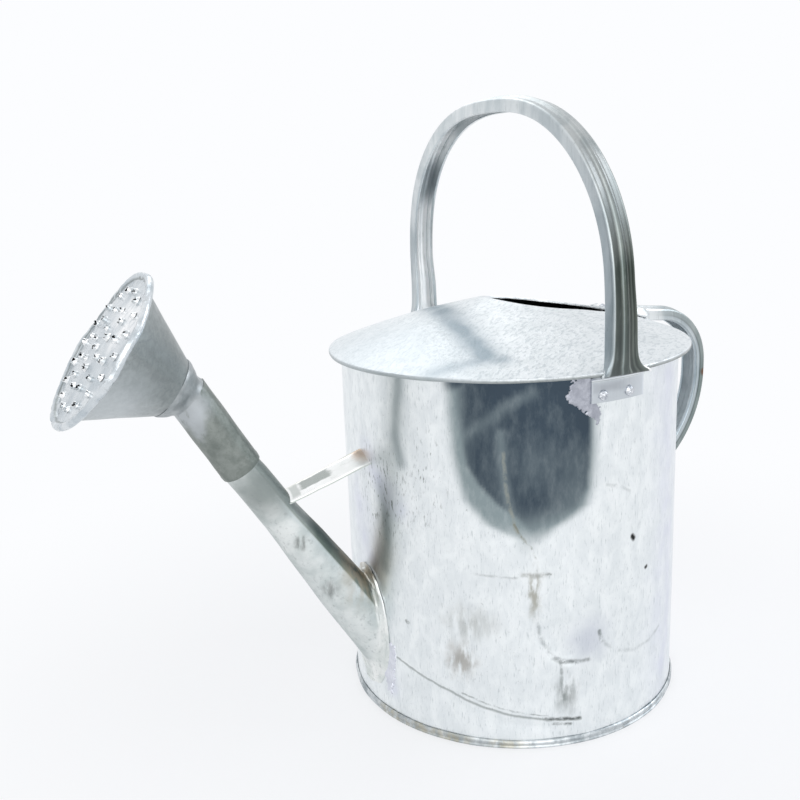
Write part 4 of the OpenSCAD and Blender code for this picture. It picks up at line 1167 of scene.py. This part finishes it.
def acrossFace(spot):    # away from the rose's axis, and along it
    away = spot - roseElbow
    reach = away.dot(roseOut)
    return away - roseOut * reach, reach


face = lathe("roseFace", faceProfile, faceSet["steps"], roseElbow * mm, roseOut, roseSide)
for vertex in face.data.vertices:   # hand-crimped, never quite round or flat
    flat = acrossFace(vertex.co / mm)[0]
    if flat.length > faceSet["crimpFrom"]:
        crimp = noise.noise(flat / 4.5) + 0.6 * noise.noise(flat / 14)
        bend = noise.noise(flat / 26 + Vector((3, 1, 4)))
        outwards = flat.normalized() * (0.6 * min(0.3, crimp) + 0.9 * min(0.2, bend))
        vertex.co += (outwards + roseOut * (0.5 * min(0.3, crimp) + 1.6 * min(0.25, bend))) * mm
    else:
        vertex.co += roseOut * (0.55 * noise.noise(flat / 11) - 0.15) * mm

holeSpots = []
for count, ring in faceSet["rings"]:
    for i in range(count):
        turn, away = math.radians(i * 360 / count + ring * faceSet["ringTurn"]), ring * faceSet["spacing"]
        holeSpots.append(roseSpot(turn, away, lerpTable(faceDome, away) - 0.4))
toFace = Matrix((roseSide, Vector((0, 1, 0)), roseOut)).transposed()


def copyPiece(piece):    # a copy with its own mesh
    one = piece.copy()
    one.data = piece.data.copy()
    bpy.context.scene.collection.objects.link(one)
    return one


deselect()
bpy.ops.mesh.primitive_cylinder_add(vertices=14, radius=faceSet["holeR"] * mm, depth=7 * mm)
punch = bpy.context.object
for vertex in punch.data.vertices:
    vertex.co = toFace @ vertex.co
punches = []
for spot in holeSpots:
    one = copyPiece(punch)
    for vertex in one.data.vertices:
        vertex.co += spot * mm
    punches.append(one)
bpy.data.objects.remove(punch)
punches = joinPieces("punches", punches)
applyModifier(face, "BOOLEAN", operation="DIFFERENCE", object=punches, solver="EXACT")
bpy.data.objects.remove(punches)
faceLook = {"bright": "#DADFE2", "dull": "#BBC4CA", "line": "#8E9698", "dirt": "#626765", "streak": 0.003,
            "stretch": (1, 1, 1), "lineDepth": 0.4, "dirtDepth": 0.7, "rough": (0.16, 0.3), "cloud": 0.014,
            "bump": 0.4}
# painted highlight: white glare on one side of the face
faceGlare = [stainOrLightAt(tuple(roseSpot(5.5, 31, 60) * mm), (0.014, 0.018, 0.022), "#FFFFFF", 0.85, soft=0.6,
                      wobble=0.016, wave=0.012, broken=0.009)]


def faceTone(spot):    # painted shade in the groove inside the crimp
    (inner, outer), (flat, reach) = faceSet["grooveShadeBetween"], acrossFace(spot)
    return (1.0 if inner < flat.length < outer and reach > faceSet["grooveShadeAbove"] else 0.0, 0.0, 0.0)


paintMarks(face, faceTone)
# the groove's painted shade round the crimp
faceZinc = zincFinish("punchedRoseZinc", faceLook, faceGlare, marks=[(0, "#6F7674", 0.75)])
finishPiece(face, faceZinc, "rose", "rose_face", 40)


# one torn burr, copied to every hole and torn differently each time
burrSet = {"steps": 16, "seed": 11, "size": (0.85, 1.12), "lean": 0.25, "tear": (0.35, 1.25), "flare": 0.12,
           "lift": 0.35, "darkInside": 1.4}
burrProfile = [(1.3, -0.3), (1.35, 0.6), (1.45, 2.1), (1.65, 2.05), (1.9, 1.0), (2.3, 0.3), (2.7, -0.25)]
burr = lathe("roseBurr", burrProfile + [burrProfile[0]], burrSet["steps"])
# painted shade down the inside of each burr
paintMarks(burr, lambda spot: (1.0 if spot.xy.length < burrSet["darkInside"] else 0.0, 0.0, 0.0))
burrs, chance = [], random.Random(burrSet["seed"])
for spot in holeSpots:
    one, steps, most = copyPiece(burr), burrSet["steps"], burrSet["lean"]
    turn, size = chance.uniform(0, 6.28), chance.uniform(*burrSet["size"])
    lean = Vector((chance.uniform(-most, most), chance.uniform(-most, most), 0))
    tears = [chance.uniform(*burrSet["tear"]) for i in range(steps)]
    spinBy = Matrix.Rotation(turn, 3, "Z")
    for vertex in one.data.vertices:
        p = vertex.co / mm
        petal = tears[int((math.atan2(p.y, p.x) / (2 * math.pi) + 1) * steps + 0.5) % steps]
        if p.z > 0.5:
            flare = 1 + burrSet["flare"] * petal
            p = Vector((p.x * flare, p.y * flare, p.z * petal)) + lean * p.z
        p = spinBy @ p * (size if p.xy.length > burrProfile[0][0] else 1)
        vertex.co = (spot + toFace @ (p + Vector((0, 0, burrSet["lift"])))) * mm
    burrs.append(one)
bpy.data.objects.remove(burr)
burrs = joinPieces("roseBurrs", burrs)
# burrs painted brighter than the face as a painted highlight; their insides painted dark as painted shade
burrLook = dict(faceLook, bright="#FFFFFF", dull="#C9CFD2", cloud=0.004)
burrZinc = zincFinish("tornBurrZinc", burrLook, marks=[(0, "#111314", 3.0)])
finishPiece(burrs, burrZinc, "rose", None, 40)
print("rose made")


# rivets: one hammered head, copied and knocked about differently each time
rivetSet = {"head": 3.7, "high": 2.2, "inset": 1.7, "shank": 3.2, "size": (0.82, 1.0), "knock": 0.16, "swell": 0.35}
deselect()
bpy.ops.mesh.primitive_uv_sphere_add(segments=24, ring_count=14, radius=rivetSet["head"] * mm)
rivet = bpy.context.object
inEditMode(rivet, (bpy.ops.mesh.bisect, {"plane_co": (0, 0, 0), "plane_no": (0, 0, 1), "clear_inner": True,
                                         "use_fill": True}))
for vertex in rivet.data.vertices:
    vertex.co.z *= rivetSet["high"] / rivetSet["head"]


def selectFaces(piece, wanted):    # leaves edit mode, with only the wanted faces selected
    pick(piece)
    bpy.ops.object.mode_set(mode="EDIT")
    bpy.ops.mesh.select_all(action="DESELECT")
    bpy.ops.object.mode_set(mode="OBJECT")
    for polygon in piece.data.polygons:
        polygon.select = wanted(polygon)


selectFaces(rivet, lambda polygon: polygon.normal.z < -0.9 and polygon.center.z < 1e-5)
bpy.ops.object.mode_set(mode="EDIT")
bpy.ops.mesh.inset(thickness=rivetSet["inset"] * mm, depth=0)
bpy.ops.mesh.extrude_region_move(TRANSFORM_OT_translate={"value": (0, 0, -rivetSet["shank"] * mm)})
bpy.ops.object.mode_set(mode="OBJECT")


def setRivets(name, places, node, seed):
    # places: (point on the plate, outward direction), both in mm
    heads, chance = [], random.Random(seed)
    for point, out in places:
        one = copyPiece(rivet)
        turn = Vector((0, 0, 1)).rotation_difference(Vector(out).normalized()).to_matrix()
        knock, size = chance.uniform(0, 50), chance.uniform(*rivetSet["size"])
        for vertex in one.data.vertices:
            p = vertex.co / mm
            if p.z > -0.1:
                bump = noise.noise(Vector((p.x / 1.6 + knock, p.y / 1.6, 0)))
                wide, narrow = 1 + rivetSet["knock"] * bump, 1 - rivetSet["knock"] * bump
                p = Vector((p.x * size * wide, p.y * size * narrow, p.z * (1 + rivetSet["swell"] * bump)))
            vertex.co = (Vector(point) + turn @ p) * mm
        heads.append(one)
    finishPiece(joinPieces(name, heads), rivetZinc, "can", node, 40)


rivetLook = {"bright": "#EDEFF2", "dull": "#A5ABB3", "line": "#8D9297", "dirt": "#54565A", "cloud": 0.0025,
             "streak": 0.002, "stretch": (1, 1, 1), "dirtDepth": 0.5, "rough": (0.2, 0.34), "bump": 0.4}
rivetZinc = zincFinish("hammeredRivetZinc", rivetLook)
# where they sit: heights on the wall, distances along and across the straps
rivetPlaces = {"bowX": (-8.8, 11.4), "bowZ": 234.0, "gripY": (-10, 10), "lidX": 94.4, "wallZ": 106.6}
bowRivets = [(x, side * math.sqrt(bowSet["plateOut"] ** 2 - x * x), rivetPlaces["bowZ"])
             for side in (-1, 1) for x in rivetPlaces["bowX"]]
setRivets("bowRivets", [(spot, (spot[0], spot[1], 0)) for spot in bowRivets], "bow_handle_rivets", 3)
lidOut, lidX = Vector((0.2583, 0, 0.966)), rivetPlaces["lidX"]
gripRivets = [((lidX, y, lidHeight(math.hypot(lidX, y)) + 1.2), lidOut) for y in rivetPlaces["gripY"]]
gripRivets += [((math.sqrt(gripSet["plateOut"] ** 2 - y * y), y, rivetPlaces["wallZ"]), (1, y / 118, 0))
               for y in rivetPlaces["gripY"]]
setRivets("gripRivets", gripRivets, "rear_handle_rivets", 8)
bpy.data.objects.remove(rivet)


# torn-edged solder laid on the wall: by the near foot and at the spout's root
solderSet = {"steps": 64, "sunk": 0.9, "ragged": 0.7, "sheet": 0.5}


def solderPatch(name, turns, heights, thickness, solder, shape):
    def place(u, v):
        azimuth, height = turns[0] + (turns[1] - turns[0]) * u, heights[0] + (heights[1] - heights[0]) * v
        x = math.radians(azimuth) * wallSet["radius"]
        rough = noise.noise(Vector((x / 3.2, height / 3.2, 2.2)))
        rough += 0.5 * noise.noise(Vector((x / 1.3, height / 1.3, 0.2)))
        cover = shape(azimuth, height) + solderSet["ragged"] * rough
        radius = wallRadius(azimuth + 360 * (azimuth < -180), height) - solderSet["sunk"] * (cover <= 0)
        radius += thickness * (0.7 + 0.6 * abs(rough)) * ease(cover / 0.12) if cover > 0 else 0
        return roundSpot(azimuth, radius, height)
    patch = shapeGrid(name, solderSet["steps"], solderSet["steps"], place)
    sunk = []
    for vertex in patch.data.vertices:
        spot = vertex.co / mm
        sunk.append(spot.xy.length < wallRadius(math.degrees(math.atan2(spot.y, spot.x)), spot.z) - 0.5)
    selectFaces(patch, lambda polygon: all(sunk[i] for i in polygon.vertices))    # what lies behind the wall goes
    bpy.ops.object.mode_set(mode="EDIT")
    bpy.ops.mesh.delete(type="FACE")
    bpy.ops.object.mode_set(mode="OBJECT")
    thicken(patch, solderSet["sheet"], solder)
    finishPiece(patch, solder, "can", None, 50)


footSolderLeft = [(217, -95), (219, -96.5), (222, -98.5), (227, -102.0), (231, -105), (236, -106.3), (241, -105.2),
                  (246, -104)]


def footShape(azimuth, height):    # above 0 where the solder lies
    return min((azimuth - lerpTable(footSolderLeft, height)) / 3, (-95.0 - azimuth) / 3, (height - 217) / 4, 1)


def rootShape(azimuth, height):
    up = height - 20
    return min((-166.8 + up * 0.06 - azimuth) / 2.2, (azimuth + 169.5 + up * 0.2) / 2.2, up / 8, (57 - height) / 4, 1)


greySolder = zincFinish("greySolder", dict(solderLook, bright="#B7BAC3", dull="#9C9FA9", line="#8A8D96"))
paleSolder = zincFinish("paleSolder", dict(solderLook, bright="#E6E8F0", dull="#D3D6DF", line="#B9BCC6"))
solderPatch("footSolder", (-113, -93), (213, 247), 0.4, greySolder, footShape)
solderPatch("rootSolder", (-182, -163), (18, 58), 0.5, paleSolder, rootShape)
print("rivets and solder made")
